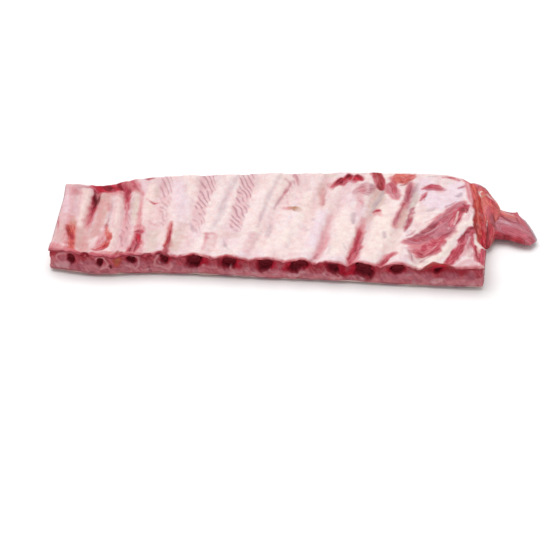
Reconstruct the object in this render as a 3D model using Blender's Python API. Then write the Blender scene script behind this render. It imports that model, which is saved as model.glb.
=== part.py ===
"""Rack of pork ribs, lying on its outer, fatty side with the smooth inner side up.

The rack's length is along X and its width along Y. The ribs run across it, from the sawn front edge to the sawn
back edge. Places on the rack are given as (rib, across): rib counts the ribs from the left, 0 at the first one, with
fractions between two ribs, and across runs from 0 at the front edge to 1 at the back edge. Lengths are in metres.
"""

import math

import bmesh
import bpy
from mathutils import Vector

# Plan of the rack
RIB_COUNT = 12
LEFT_END = -4 / 6  # the end faces, in ribs
RIGHT_END = 12 + 1 / 6
FIRST_RIB_X = -0.2009
RIB_PITCH = 0.0307  # between the first two ribs; the pitch grows towards the right end
PITCH_GROWTH = 0.000164
PITCH_WAVE = 0.0035  # the ribs of a real rack are not quite evenly spaced
LEFT_LEAN = -0.08  # sideways step of a rib for each metre that it runs back
MIDDLE_LEAN = 0.20
RIGHT_LEAN = 0.12
LEFT_WIDTH = 0.111
FULL_WIDTH = 0.1625
FULL_WIDTH_RIB = 9.6  # where the rack reaches its full width
BACK_DIP = 0.007  # a dip in the back edge behind the first two ribs
FRONT_BULGE = 0.008  # and the front edge bulging forward there
CORNER_START = 10.2  # the rounded back right corner, and what it takes off the width
CORNER_CUT = 0.049

# Section of the rack
GAP = 0.0003  # between pieces that touch
FAT_THICKNESS = 0.0038
BONE_LEVEL = 0.0140  # height of a bone's centre line over the table, where the rack is lowest
LEFT_SINK = 0.0030  # how much deeper the first rib lies than the middle ones
BONE_COVER = 0.0024  # flesh and membrane over a bone
RIB_RELIEF = 0.0046  # depth of the hollows between the ribs at the sawn edges
SKIRT_SWELL = 0.0065  # how far flesh and fat stand up over the last ribs
EDGE_RISE = 0.0055  # how far the inner side and the bones rise towards the long edges
END_RISE = 0.0030  # and towards both ends
EDGE_LIFT = 0.0009  # how far the underside comes up from the table there
END_LIFT = 0.0008
MEAT_SLOPE = 0.0020  # how far the walls lean out, from the top of the meat to its bottom
FAT_UNDERCUT = 0.0040  # how far the fat's wall runs back in below it

# Ribs: ellipses in section
BONE_HALF_WIDTH = 0.0070
BONE_HALF_THICKNESS = 0.0052
BONE_PROUD = 0.0010  # the sawn bone ends stand beyond the front and back edges, as flesh shrinks back
BLUNT_END = 0.0015  # the rounded end of a short rib
SHORT_RIBS = {10: 0.84, 11: 0.66}  # the last ribs end inside the flesh, at this share of the width

# The skirt's loose end
TAIL_ROOT_X = 0.210
TAIL_ROOT_Y = 0.136
TAIL_REACH = 0.051
TAIL_DROP = 0.036  # how far it runs down the rack's end before it turns out
TAIL_SLANT = 0.014
TAIL_HALF_WIDTH = 0.0205
TAIL_HALF_DEPTH = 0.0115
TAIL_TIP = 0.0030  # half the width of its two ends
TAIL_ROOT_HEIGHT = 0.0130
TAIL_TIP_HEIGHT = 0.0070
SEAT_HEIGHT = 0.05  # of the cutter that shapes its inner side to the rack's end

# Faces
COLUMNS_PER_RIB = 6
ROWS_ACROSS = 8
WALL_ROWS = 2
FAT_COLUMNS = 36
BONE_SIDES = 10
BONE_LENGTHS = 5
TAIL_SIDES = 12
TAIL_LENGTHS = 12


def rise(start, end, value):
    """Smooth step, from 0 at start to 1 at end."""
    t = min(max((value - start) / (end - start), 0.0), 1.0)
    return t * t * (3.0 - 2.0 * t)


def bump(centre, reach, value):
    """Smooth bump, 1 at its centre."""
    return math.exp(-(((value - centre) / reach) ** 2))


def front_x(rib):
    """X along the front edge."""
    even = FIRST_RIB_X + RIB_PITCH * rib + PITCH_GROWTH * rib**2
    return even + PITCH_WAVE * math.sin(1.05 * rib + 1.04)


def lean(rib):
    """How far a rib steps to the right for each metre that it runs back."""
    turned = (MIDDLE_LEAN - LEFT_LEAN) * rise(1.0, 6.5, rib)
    return LEFT_LEAN + turned + (RIGHT_LEAN - MIDDLE_LEAN) * rise(10.0, RIGHT_END, rib)


def width(rib):
    grown = math.sin(math.pi / 2 * min((rib - LEFT_END) / (FULL_WIDTH_RIB - LEFT_END), 1.0))
    corner = max((rib - CORNER_START) / (RIGHT_END - CORNER_START), 0.0) ** 2.5
    full = LEFT_WIDTH + (FULL_WIDTH - LEFT_WIDTH) * grown
    return full - BACK_DIP * bump(0.5, 0.8, rib) - CORNER_CUT * corner


def plan(rib, across):
    """X and Y of a place on the rack."""
    back = across * width(rib)
    bulge = FRONT_BULGE * bump(0.8, 1.3, rib) * (1.0 - across)
    return front_x(rib) + lean(rib) * back, back - bulge


def dish(rib, across, edge_height, end_height):
    """A shallow dish: 0 over the middle, curving up to a height along the long edges and to another at both ends."""
    edge = rise(0.55, 1.0, abs(2.0 * across - 1.0)) ** 1.5
    share = (rib - LEFT_END) / (RIGHT_END - LEFT_END)
    end = rise(0.72, 1.0, abs(2.0 * share - 1.0)) ** 1.5
    return edge_height * edge + end_height * end


def underside(rib, across):
    """Height of the rack's underside, which lies almost flat on the table."""
    return dish(rib, across, EDGE_LIFT, END_LIFT)


def bed(rib, across):
    """Height of the surface that the bones and the inner side follow."""
    return dish(rib, across, EDGE_RISE, END_RISE)


def fat_depth(rib, across):
    thinner = rise(0.7, 1.0, abs(2.0 * across - 1.0))
    return FAT_THICKNESS * (1.0 - 0.25 * thinner) + 0.0005 * math.sin(1.7 * rib + 3.0 * across)


def bone_height(rib, across):
    return bed(rib, across) + BONE_LEVEL - LEFT_SINK * (1.0 - rise(0.0, 3.5, rib))


def inner_side(rib, across):
    """Height of the inner side: rounded ribs with hollows between them, under a swell of skirt and fat on the right."""
    from_rib = 2.0 * abs(rib - round(min(max(rib, 0.0), RIB_COUNT - 1.0)))
    hollow = min(from_rib, 1.0) ** 2.4
    covered = rise(3.0, 6.0, rib) * rise(0.0, 0.16, across)
    relief = RIB_RELIEF * (1.0 - 0.5 * covered)
    over_bone = bed(rib, across) + BONE_LEVEL + BONE_HALF_THICKNESS + BONE_COVER
    inland = rise(0.0, 0.22, across) * (1.0 - 0.7 * rise(0.75, 1.0, across))
    swell = SKIRT_SWELL * rise(8.2, 10.8, rib - 1.2 * (across - 0.5)) * inland
    rolling = 0.75 + 0.25 * math.sin(2.9 * rib + 7.0 * across)
    return over_bone - relief * hollow + swell * rolling


def meat_height(rib, across, level):
    """Level runs from 0 on the meat's underside to 1 on its inner side."""
    bottom = underside(rib, across) + fat_depth(rib, across) + GAP
    return bottom + (inner_side(rib, across) - bottom) * level


def fat_height(rib, across, level):
    """Level runs from 0 on the table to 1 where the meat lies on the fat."""
    return underside(rib, across) + fat_depth(rib, across) * level


def seat_height(rib, across, level):
    """A cutter's height, from under the table to well over the rack."""
    return SEAT_HEIGHT * (2.0 * level - 1.0)


def meat_inset(level):
    """How far the wall has moved in at that level."""
    return -MEAT_SLOPE * (1.0 - level) ** 2


def fat_inset(level):
    return FAT_UNDERCUT * (1.0 - level) ** 2 - MEAT_SLOPE


def seat_inset(level):
    return -MEAT_SLOPE - GAP


def bone_point(rib, ring, angle, clearance, beyond):
    """A place on a bone. Its end rings stand beyond the flesh, or round off the blunt end of a short rib."""
    across = SHORT_RIBS.get(rib, 1.0) * min(max((ring - 1) / BONE_LENGTHS, 0.0), 1.0)
    x, y = plan(rib, across)
    at_front, at_back = ring == 0, ring == BONE_LENGTHS + 2
    blunt = at_back and rib in SHORT_RIBS
    step = (BLUNT_END + clearance if blunt else BONE_PROUD + beyond) * (at_back - at_front)
    swell = 1.0 + 0.12 * math.sin(math.pi * across + 0.6 * rib)  # no two ribs are quite alike
    narrowed = 0.6 if blunt else 1.0
    return Vector((
        x + lean(rib) * step + (BONE_HALF_WIDTH * swell * narrowed + clearance) * math.cos(angle),
        y + step,
        bone_height(rib, across) + (BONE_HALF_THICKNESS * narrowed + clearance) * math.sin(angle),
    ))


def tail_centre(along):
    """The skirt's loose end: it hangs down the right end of the rack and turns out on to the table."""
    turn = rise(0.22, 0.80, along)
    x = TAIL_ROOT_X + TAIL_REACH * along * turn
    y = TAIL_ROOT_Y - TAIL_DROP * rise(0.0, 0.5, along) - TAIL_SLANT * along
    z = TAIL_ROOT_HEIGHT - (TAIL_ROOT_HEIGHT - TAIL_TIP_HEIGHT) * rise(0.1, 0.9, along)
    return Vector((x, y, z))


def tail_point(along, angle):
    """A place on the skirt's loose end: a flattened tube that swells in the middle and narrows to a blunt tip."""
    centre = tail_centre(along)
    heading = tail_centre(along + 0.01) - tail_centre(along - 0.01)
    sideways = Vector((heading.y, -heading.x, 0.0)).normalized()
    swollen = math.sqrt(max(1.0 - (2.0 * along - 1.0) ** 4, 0.0))
    half_width = TAIL_TIP + TAIL_HALF_WIDTH * swollen * (1.0 - 0.25 * along)
    half_depth = 0.5 * TAIL_TIP + TAIL_HALF_DEPTH * swollen * (1.0 - 0.45 * along)
    side = sideways * half_width * math.cos(angle)
    return centre + side + Vector((0.0, 0.0, max(half_depth * math.sin(angle), -centre.z)))


def block(columns, rows, layers):
    """A cube primitive from 0 to 1, with its faces divided into a grid."""
    mesh = bmesh.new()
    bmesh.ops.create_cube(mesh, size=1.0)
    bmesh.ops.translate(mesh, verts=mesh.verts, vec=(0.5, 0.5, 0.5))
    for axis, count in enumerate((columns, rows, layers)):
        along = [e for e in mesh.edges if abs((e.verts[0].co - e.verts[1].co)[axis]) > 1e-6]
        bmesh.ops.subdivide_edges(mesh, edges=along, cuts=count - 1, use_grid_fill=True)
    return mesh


def tube(sides, lengths):
    """A cylinder primitive along Z from 0 to 1, of radius 1, divided along its length."""
    mesh = bmesh.new()
    bmesh.ops.create_cone(mesh, cap_ends=True, segments=sides, radius1=1.0, radius2=1.0, depth=1.0)
    bmesh.ops.translate(mesh, verts=mesh.verts, vec=(0.0, 0.0, 0.5))
    along = [e for e in mesh.edges if abs(e.verts[0].co.z - e.verts[1].co.z) > 1e-6]
    bmesh.ops.subdivide_edges(mesh, edges=along, cuts=lengths - 1, use_grid_fill=True)
    return mesh


def finished(mesh, name, collection, material=None):
    """Makes the object from the shaped primitive."""
    mesh.normal_update()
    bmesh.ops.recalc_face_normals(mesh, faces=mesh.faces)
    data = bpy.data.meshes.new(name)
    mesh.to_mesh(data)
    mesh.free()
    data.shade_smooth()
    data.set_sharp_from_angle(angle=math.radians(40))
    if material:
        data.materials.append(material)
    piece = bpy.data.objects.new(name, data)
    collection.objects.link(piece)
    return piece


def slab(name, height, inset, columns, collection, material=None):
    """A layer of the rack: a block with its walls moved in, whose heights are worked out at each place."""
    mesh = block(columns, ROWS_ACROSS, 1 + WALL_ROWS)
    for vertex in mesh.verts:
        share, across, level = vertex.co
        rib = LEFT_END + (RIGHT_END - LEFT_END) * share
        on_end = (share < 0.001) - (share > 0.999)
        on_edge = (across < 0.001) - (across > 0.999)
        rib += on_end * inset(level) / RIB_PITCH
        across += on_edge * inset(level) / width(rib)
        vertex.co = (*plan(rib, across), height(rib, across, level))
    return finished(mesh, name, collection, material)


def bone(name, rib, collection, material=None, clearance=0.0, beyond=0.0):
    """A rib, or with some clearance and length beyond its ends, the channel that it lies in."""
    rings = BONE_LENGTHS + 2
    mesh = tube(BONE_SIDES, rings)
    for vertex in mesh.verts:
        angle = math.atan2(vertex.co.y, vertex.co.x)
        vertex.co = bone_point(rib, round(vertex.co.z * rings), angle, clearance, beyond)
    return finished(mesh, name, collection, material)


def tail(name, collection, material):
    mesh = tube(TAIL_SIDES, TAIL_LENGTHS)
    for vertex in mesh.verts:
        vertex.co = tail_point(vertex.co.z, math.atan2(vertex.co.y, vertex.co.x))
    return finished(mesh, name, collection, material)


def cut(piece, operand, name):
    """Takes an object, or every object of a collection, out of the piece."""
    boolean = piece.modifiers.new(name, "BOOLEAN")
    boolean.operation = "DIFFERENCE"
    boolean.solver = "EXACT"
    if isinstance(operand, bpy.types.Collection):
        boolean.operand_type = "COLLECTION"
        boolean.collection = operand
    else:
        boolean.object = operand


def material(name, colour, roughness):
    made = bpy.data.materials.new(name)
    made.use_nodes = True
    shader = made.node_tree.nodes["Principled BSDF"]
    shader.inputs["Base Color"].default_value = (*colour, 1.0)
    shader.inputs["Roughness"].default_value = roughness
    shader.inputs["Metallic"].default_value = 0.0
    return made


def new_collection(name, helper=False):
    made = bpy.data.collections.new(name)
    bpy.context.scene.collection.children.link(made)
    made.hide_render = helper
    return made


def hide_helpers(collection):
    for helper in collection.objects:
        helper.hide_render = True
        helper.display_type = "WIRE"


def stand_on_origin(pieces):
    """Hangs every piece on one empty, moved so that the origin is under the middle of the rack."""
    bpy.context.view_layer.update()
    graph = bpy.context.evaluated_depsgraph_get()
    corners = [Vector(c) for piece in pieces for c in piece.evaluated_get(graph).bound_box]
    low = Vector(min(c[k] for c in corners) for k in range(3))
    high = Vector(max(c[k] for c in corners) for k in range(3))
    base = bpy.data.objects.new("rack_base", None)
    bpy.context.scene.collection.objects.link(base)
    base.location = (-(low.x + high.x) / 2, -(low.y + high.y) / 2, -low.z)
    return base


def main():
    for old in list(bpy.data.objects):
        bpy.data.objects.remove(old)
    rack = new_collection("rack_of_ribs")
    channels = new_collection("rib_channels", helper=True)
    helpers = new_collection("tail_seat", helper=True)

    flesh = material("flesh", (0.62, 0.22, 0.24), 0.40)
    fat = material("fat", (0.86, 0.72, 0.68), 0.45)
    bone_white = material("bone", (0.52, 0.16, 0.15), 0.50)
    skirt = material("skirt", (0.60, 0.16, 0.14), 0.35)

    columns = round((RIGHT_END - LEFT_END) * COLUMNS_PER_RIB)
    meat = slab("meat", meat_height, meat_inset, columns, rack, flesh)
    fat_cover = slab("fat_cover", fat_height, fat_inset, FAT_COLUMNS, rack, fat)
    ribs = []
    for rib in range(RIB_COUNT):
        ribs.append(bone(f"rib_{rib + 1:02d}", rib, rack, bone_white))
        bone(f"channel_{rib + 1:02d}", rib, channels, clearance=GAP, beyond=0.004)
    cut(meat, channels, "rib_channels")

    skirt_tail = tail("skirt_tail", rack, skirt)
    cut(skirt_tail, slab("rack_seat", seat_height, seat_inset, columns, helpers), "rack_seat")

    hide_helpers(channels)
    hide_helpers(helpers)
    pieces = [meat, fat_cover, skirt_tail, *ribs]
    base = stand_on_origin(pieces)
    for piece in (*pieces, *channels.objects, *helpers.objects):
        piece.parent = base


main()
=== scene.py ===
import math

import bpy
import numpy as np
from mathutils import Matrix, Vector


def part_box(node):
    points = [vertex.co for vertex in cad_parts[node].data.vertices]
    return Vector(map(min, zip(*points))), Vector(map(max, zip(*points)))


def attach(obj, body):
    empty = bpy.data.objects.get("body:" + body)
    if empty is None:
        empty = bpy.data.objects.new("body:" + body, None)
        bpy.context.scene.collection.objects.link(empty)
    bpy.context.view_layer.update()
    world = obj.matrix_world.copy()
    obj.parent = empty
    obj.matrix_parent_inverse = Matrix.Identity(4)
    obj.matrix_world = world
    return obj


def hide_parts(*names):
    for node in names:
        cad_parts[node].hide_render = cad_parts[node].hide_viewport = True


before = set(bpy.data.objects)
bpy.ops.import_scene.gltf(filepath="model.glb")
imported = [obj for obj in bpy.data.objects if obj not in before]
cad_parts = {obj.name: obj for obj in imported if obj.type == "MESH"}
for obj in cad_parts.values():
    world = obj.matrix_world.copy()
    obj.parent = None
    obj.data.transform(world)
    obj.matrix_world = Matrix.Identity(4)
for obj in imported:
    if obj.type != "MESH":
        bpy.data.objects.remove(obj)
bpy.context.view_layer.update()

meatLow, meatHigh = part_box("meat")

# The rack in plan, as its solids have it. A place is (rib, across): ribs are counted from the left, from 0,
# and across runs from 0 at the front edge to 1 at the back edge. Lengths are in metres.
rack = {
    "ribCount": 12,
    "leftEnd": -4 / 6,
    "rightEnd": 12 + 1 / 6,
    "firstRibX": -0.2009,
    "ribPitch": 0.0307,
    "pitchGrowth": 0.000164,
    "pitchWave": 0.0035,
    "leftLean": -0.08,
    "middleLean": 0.20,
    "rightLean": 0.12,
    "leftWidth": 0.111,
    "fullWidth": 0.1625,
    "fullWidthRib": 9.6,
    "backDip": 0.007,
    "frontBulge": 0.008,
    "cornerStart": 10.2,
    "cornerCut": 0.049,
    "edgeRise": 0.0055,  # how far the inner side and the bones rise towards the long edges
    "endRise": 0.0030,
    "edgeLift": 0.0009,  # how far the underside comes up from the table there
    "endLift": 0.0008,
    "meatSlope": 0.0020,  # how far the walls lean out at their foot
    "fatUndercut": 0.0040,
    "fatDepth": 0.0038,
    "depth": 0.0216,  # from the underside to the inner side over a rib
}


def smooth(low, high, value):
    # smooth step: 0 below low, 1 above high, an S-curve between
    t = np.clip((value - low) / (high - low), 0, 1)
    return t * t * (3 - 2 * t)


def bump(centre, reach, value):
    # bell curve, 1 at its centre
    return np.exp(-(((value - centre) / reach) ** 2))


def noise(x, y, size, seed):
    # value noise from -1 to 1: random heights on a square lattice with cells of that size, joined by smooth steps
    side = 101
    lattice = np.random.RandomState(seed).uniform(-1, 1, (side, side))
    i, j = np.floor(x / size).astype(int), np.floor(y / size).astype(int)
    s, t = smooth(0, 1, x / size - i), smooth(0, 1, y / size - j)
    near = lattice[i % side, j % side] * (1 - s) + lattice[(i + 1) % side, j % side] * s
    far = lattice[i % side, (j + 1) % side] * (1 - s) + lattice[(i + 1) % side, (j + 1) % side] * s
    return near * (1 - t) + far * t


def roughly(x, y, size, seed):
    # three octaves of noise, each half the size and half the height of the one before
    return noise(x, y, size, seed) + noise(x, y, size / 2, seed + 1) / 2 + noise(x, y, size / 4, seed + 2) / 4


def frontX(rib):
    # even pitch, growing to the right, with a slow wave
    even = rack["firstRibX"] + rack["ribPitch"] * rib + rack["pitchGrowth"] * rib**2
    return even + rack["pitchWave"] * np.sin(1.05 * rib + 1.04)


def lean(rib):
    # the ribs lean left at the left end and right in the middle
    turned = (rack["middleLean"] - rack["leftLean"]) * smooth(1.0, 6.5, rib)
    return rack["leftLean"] + turned + (rack["rightLean"] - rack["middleLean"]) * smooth(10.0, rack["rightEnd"], rib)


def rackWidth(rib):
    # a quarter of a sine up to the full width, less the dip behind the first ribs and the rounded corner
    share = np.minimum((rib - rack["leftEnd"]) / (rack["fullWidthRib"] - rack["leftEnd"]), 1)
    grown = np.sin(np.pi / 2 * share)
    corner = np.maximum((rib - rack["cornerStart"]) / (rack["rightEnd"] - rack["cornerStart"]), 0) ** 2.5
    full = rack["leftWidth"] + (rack["fullWidth"] - rack["leftWidth"]) * grown
    return full - rack["backDip"] * bump(0.5, 0.8, rib) - rack["cornerCut"] * corner


def plan(rib, across):
    # x and y of a place on the rack, in the frame's own metres
    back = across * rackWidth(rib)
    bulge = rack["frontBulge"] * bump(0.8, 1.3, rib) * (1 - across)
    return frontX(rib) + lean(rib) * back + originX, back - bulge + originY


originX = originY = 0.0
leftFoot = plan(np.array(rack["leftEnd"] - rack["meatSlope"] / rack["ribPitch"]), 1 + rack["meatSlope"] / rack["leftWidth"])
frontFoot = plan(np.array(0.83), -rack["meatSlope"] / 0.122)
originX, originY = meatLow.x - float(leftFoot[0]), meatLow.y - float(frontFoot[1])


def dish(rib, across, edgeHeight, endHeight):
    # 0 over the middle, curving up to one height along the long edges and to another at both ends
    edge = smooth(0.55, 1.0, abs(2 * across - 1)) ** 1.5
    share = (rib - rack["leftEnd"]) / (rack["rightEnd"] - rack["leftEnd"])
    end = smooth(0.72, 1.0, abs(2 * share - 1)) ** 1.5
    return edgeHeight * edge + endHeight * end


def underside(rib, across):
    # almost flat on the table
    return dish(rib, across, rack["edgeLift"], rack["endLift"])


def bed(rib, across):
    # the surface that the bones and the inner side follow
    return dish(rib, across, rack["edgeRise"], rack["endRise"])


def fatDepth(rib, across):
    thinner = smooth(0.7, 1.0, abs(2 * across - 1))
    return rack["fatDepth"] * (1 - 0.25 * thinner) + 0.0005 * np.sin(1.7 * rib + 3 * across)


def curve(points, count=22):
    # a smooth curve through a few points: a cubic spline through each four neighbours
    given = np.array(points, float)
    padded = np.concatenate([[2 * given[0] - given[1]], given, [2 * given[-1] - given[-2]]])
    place = np.linspace(0, len(given) - 1, count)
    k = np.minimum(place.astype(int), len(given) - 2)
    t = (place - k)[:, None]
    a, b, c, d = padded[k], padded[k + 1], padded[k + 2], padded[k + 3]
    return 0.5 * (2 * b + (c - a) * t + (2 * a - 5 * b + 4 * c - d) * t**2 + (3 * b - a - 3 * c + d) * t**3)


def toPath(x, y, path):
    # distance to a path, how far along it that is from 0 to 1, and on which side, from its pieces in turn
    distance, place, side = np.full(x.shape, 9.0), np.zeros(x.shape), np.zeros(x.shape)
    for k in range(len(path) - 1):
        start, step = path[k], path[k + 1] - path[k]
        dx, dy = x - start[0], y - start[1]
        t = np.clip((dx * step[0] + dy * step[1]) / (step @ step), 0, 1)
        d = np.hypot(dx - t * step[0], dy - t * step[1])
        closer = d < distance
        distance = np.where(closer, d, distance)
        place = np.where(closer, (k + t) / (len(path) - 1), place)
        side = np.where(closer, np.sign(dx * step[1] - dy * step[0]), side)
    return distance, place, side


# What shows, by name: its colour, and how far it is bare wet muscle (1) or membrane and fat (0).
# Some are also laid as painted light and shade: beige, sage and grey as painted shade in hollows, dusk and rust
# as painted shadow in creases, crimson and clot as painted shade under the sawn edge and in the bone pits, and
# lilac as a painted highlight on the skirt.
palette = {
    "membrane": ("#e8dad8", 0.0),
    "pinkish": ("#d8b4b8", 0.0),
    "lilac": ("#e2d2da", 0.0),
    "cream": ("#eaddd6", 0.0),
    "sage": ("#cfc6b9", 0.0),
    "grey": ("#b09ba5", 0.0),
    "beige": ("#cbaca4", 0.0),
    "blush": ("#cf868c", 0.2),
    "mauve": ("#b0707d", 0.5),
    "rose": ("#bb5062", 0.8),
    "flesh": ("#a63c4b", 1.0),
    "dusk": ("#7f2a39", 1.0),
    "blood": ("#b01a34", 1.0),
    "crimson": ("#820f25", 1.0),
    "clot": ("#560716", 1.0),
    "salmon": ("#cf6d60", 0.7),
    "marrow": ("#bc463c", 0.8),
    "rust": ("#97302c", 0.9),
    "tan": ("#b48a6a", 0.2),
    "cutFlesh": ("#b85560", 1.0),
    "cutBlood": ("#9c1c2e", 1.0),
}


# The inner side, in strokes laid one over another: what shows, its (rib, across) path, half widths in mm along it,
# softness of its edge in mm, strengths along it, and how far it is raised or sunk in mm.
# Hollows between and beside the ribs, sunk by the last number: the pinkish is muscle showing through the thin membrane
# together with painted shade, and the beige and grey are painted shade down the valleys
shadedHollows = [
    ("beige", [(0.36, 0.93), (0.30, 0.75), (0.26, 0.45), (0.38, 0.02)], (4, 5, 6), 6, (0.0, 0.5, 0.5), -3.6),
    ("pinkish", [(1.42, 0.95), (1.42, 0.75), (1.50, 0.40), (1.46, 0.02)], (4, 6), 6, 0.6, -3.4),
    ("pinkish", [(2.45, 1.0), (2.48, 0.6), (2.50, 0.02)], (5, 8), 7, 0.35, -2.6),
    ("pinkish", [(3.62, 1.0), (3.58, 0.6), (3.50, 0.02)], (7, 7), 8, (0.5, 0.15), -2.4),
    ("pinkish", [(4.66, 1.0), (4.66, 0.6), (4.52, 0.02)], (7, 7), 8, (0.5, 0.15), -2.3),
    ("pinkish", [(5.62, 1.0), (5.66, 0.6), (5.52, 0.02)], (6, 6), 8, 0.25, -2.1),
    ("pinkish", [(6.70, 1.0), (6.66, 0.6), (6.50, 0.02)], (6, 6), 8, (0.5, 0.1), -2.0),
    ("pinkish", [(7.48, 0.9), (7.40, 0.5), (7.42, 0.2), (7.36, 0.0)], (6, 4.5), 7, 0.3, -2.6),
    ("beige", [(8.58, 0.9), (8.55, 0.5), (8.52, 0.02)], (6, 4.5), 6, (0.7, 0.2), -3.0),
    ("beige", [(9.74, 0.86), (9.70, 0.5), (9.55, 0.02)], (4, 5), 6, (0.6, 0.2), -2.6),
    ("beige", [(10.6, 0.06), (10.5, 0.02)], (6,), 6, 0.1, -2.0),
    ("grey", [(-0.30, 0.93), (-0.22, 0.55)], (3.4, 2.6), 6, (0.55, 0.35), -1.8),
    ("grey", [(0.92, 0.88), (0.95, 0.68), (0.92, 0.50)], (1.5, 1.8, 1.6), 4, (0.2, 0.7, 0.5), -1.2),
    ("grey", [(3.14, 0.88), (3.22, 0.68), (3.20, 0.42)], (2.2, 2.6, 1.4), 5, (0.2, 0.45, 0.25), -0.6),
    ("grey", [(4.36, 0.97), (4.25, 0.75), (4.26, 0.50), (4.2, 0.30)], (2.4, 3.4, 2.2), 7, (0.4, 0.5, 0.3), -0.9),
    ("grey", [(5.36, 0.96), (5.27, 0.78), (5.30, 0.60), (5.34, 0.38)], (2.0, 2.4, 1.6, 1.4), 5, (0.3, 0.45, 0.65, 0.6), -0.9),
    ("grey", [(5.46, 0.34), (5.40, 0.10)], (1.8, 1.8), 4, (0.2, 0.35), -0.5),
    ("grey", [(6.30, 0.40), (6.40, 0.16)], (1.8, 1.8), 4, (0.1, 0.25), -0.4),
]

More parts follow.
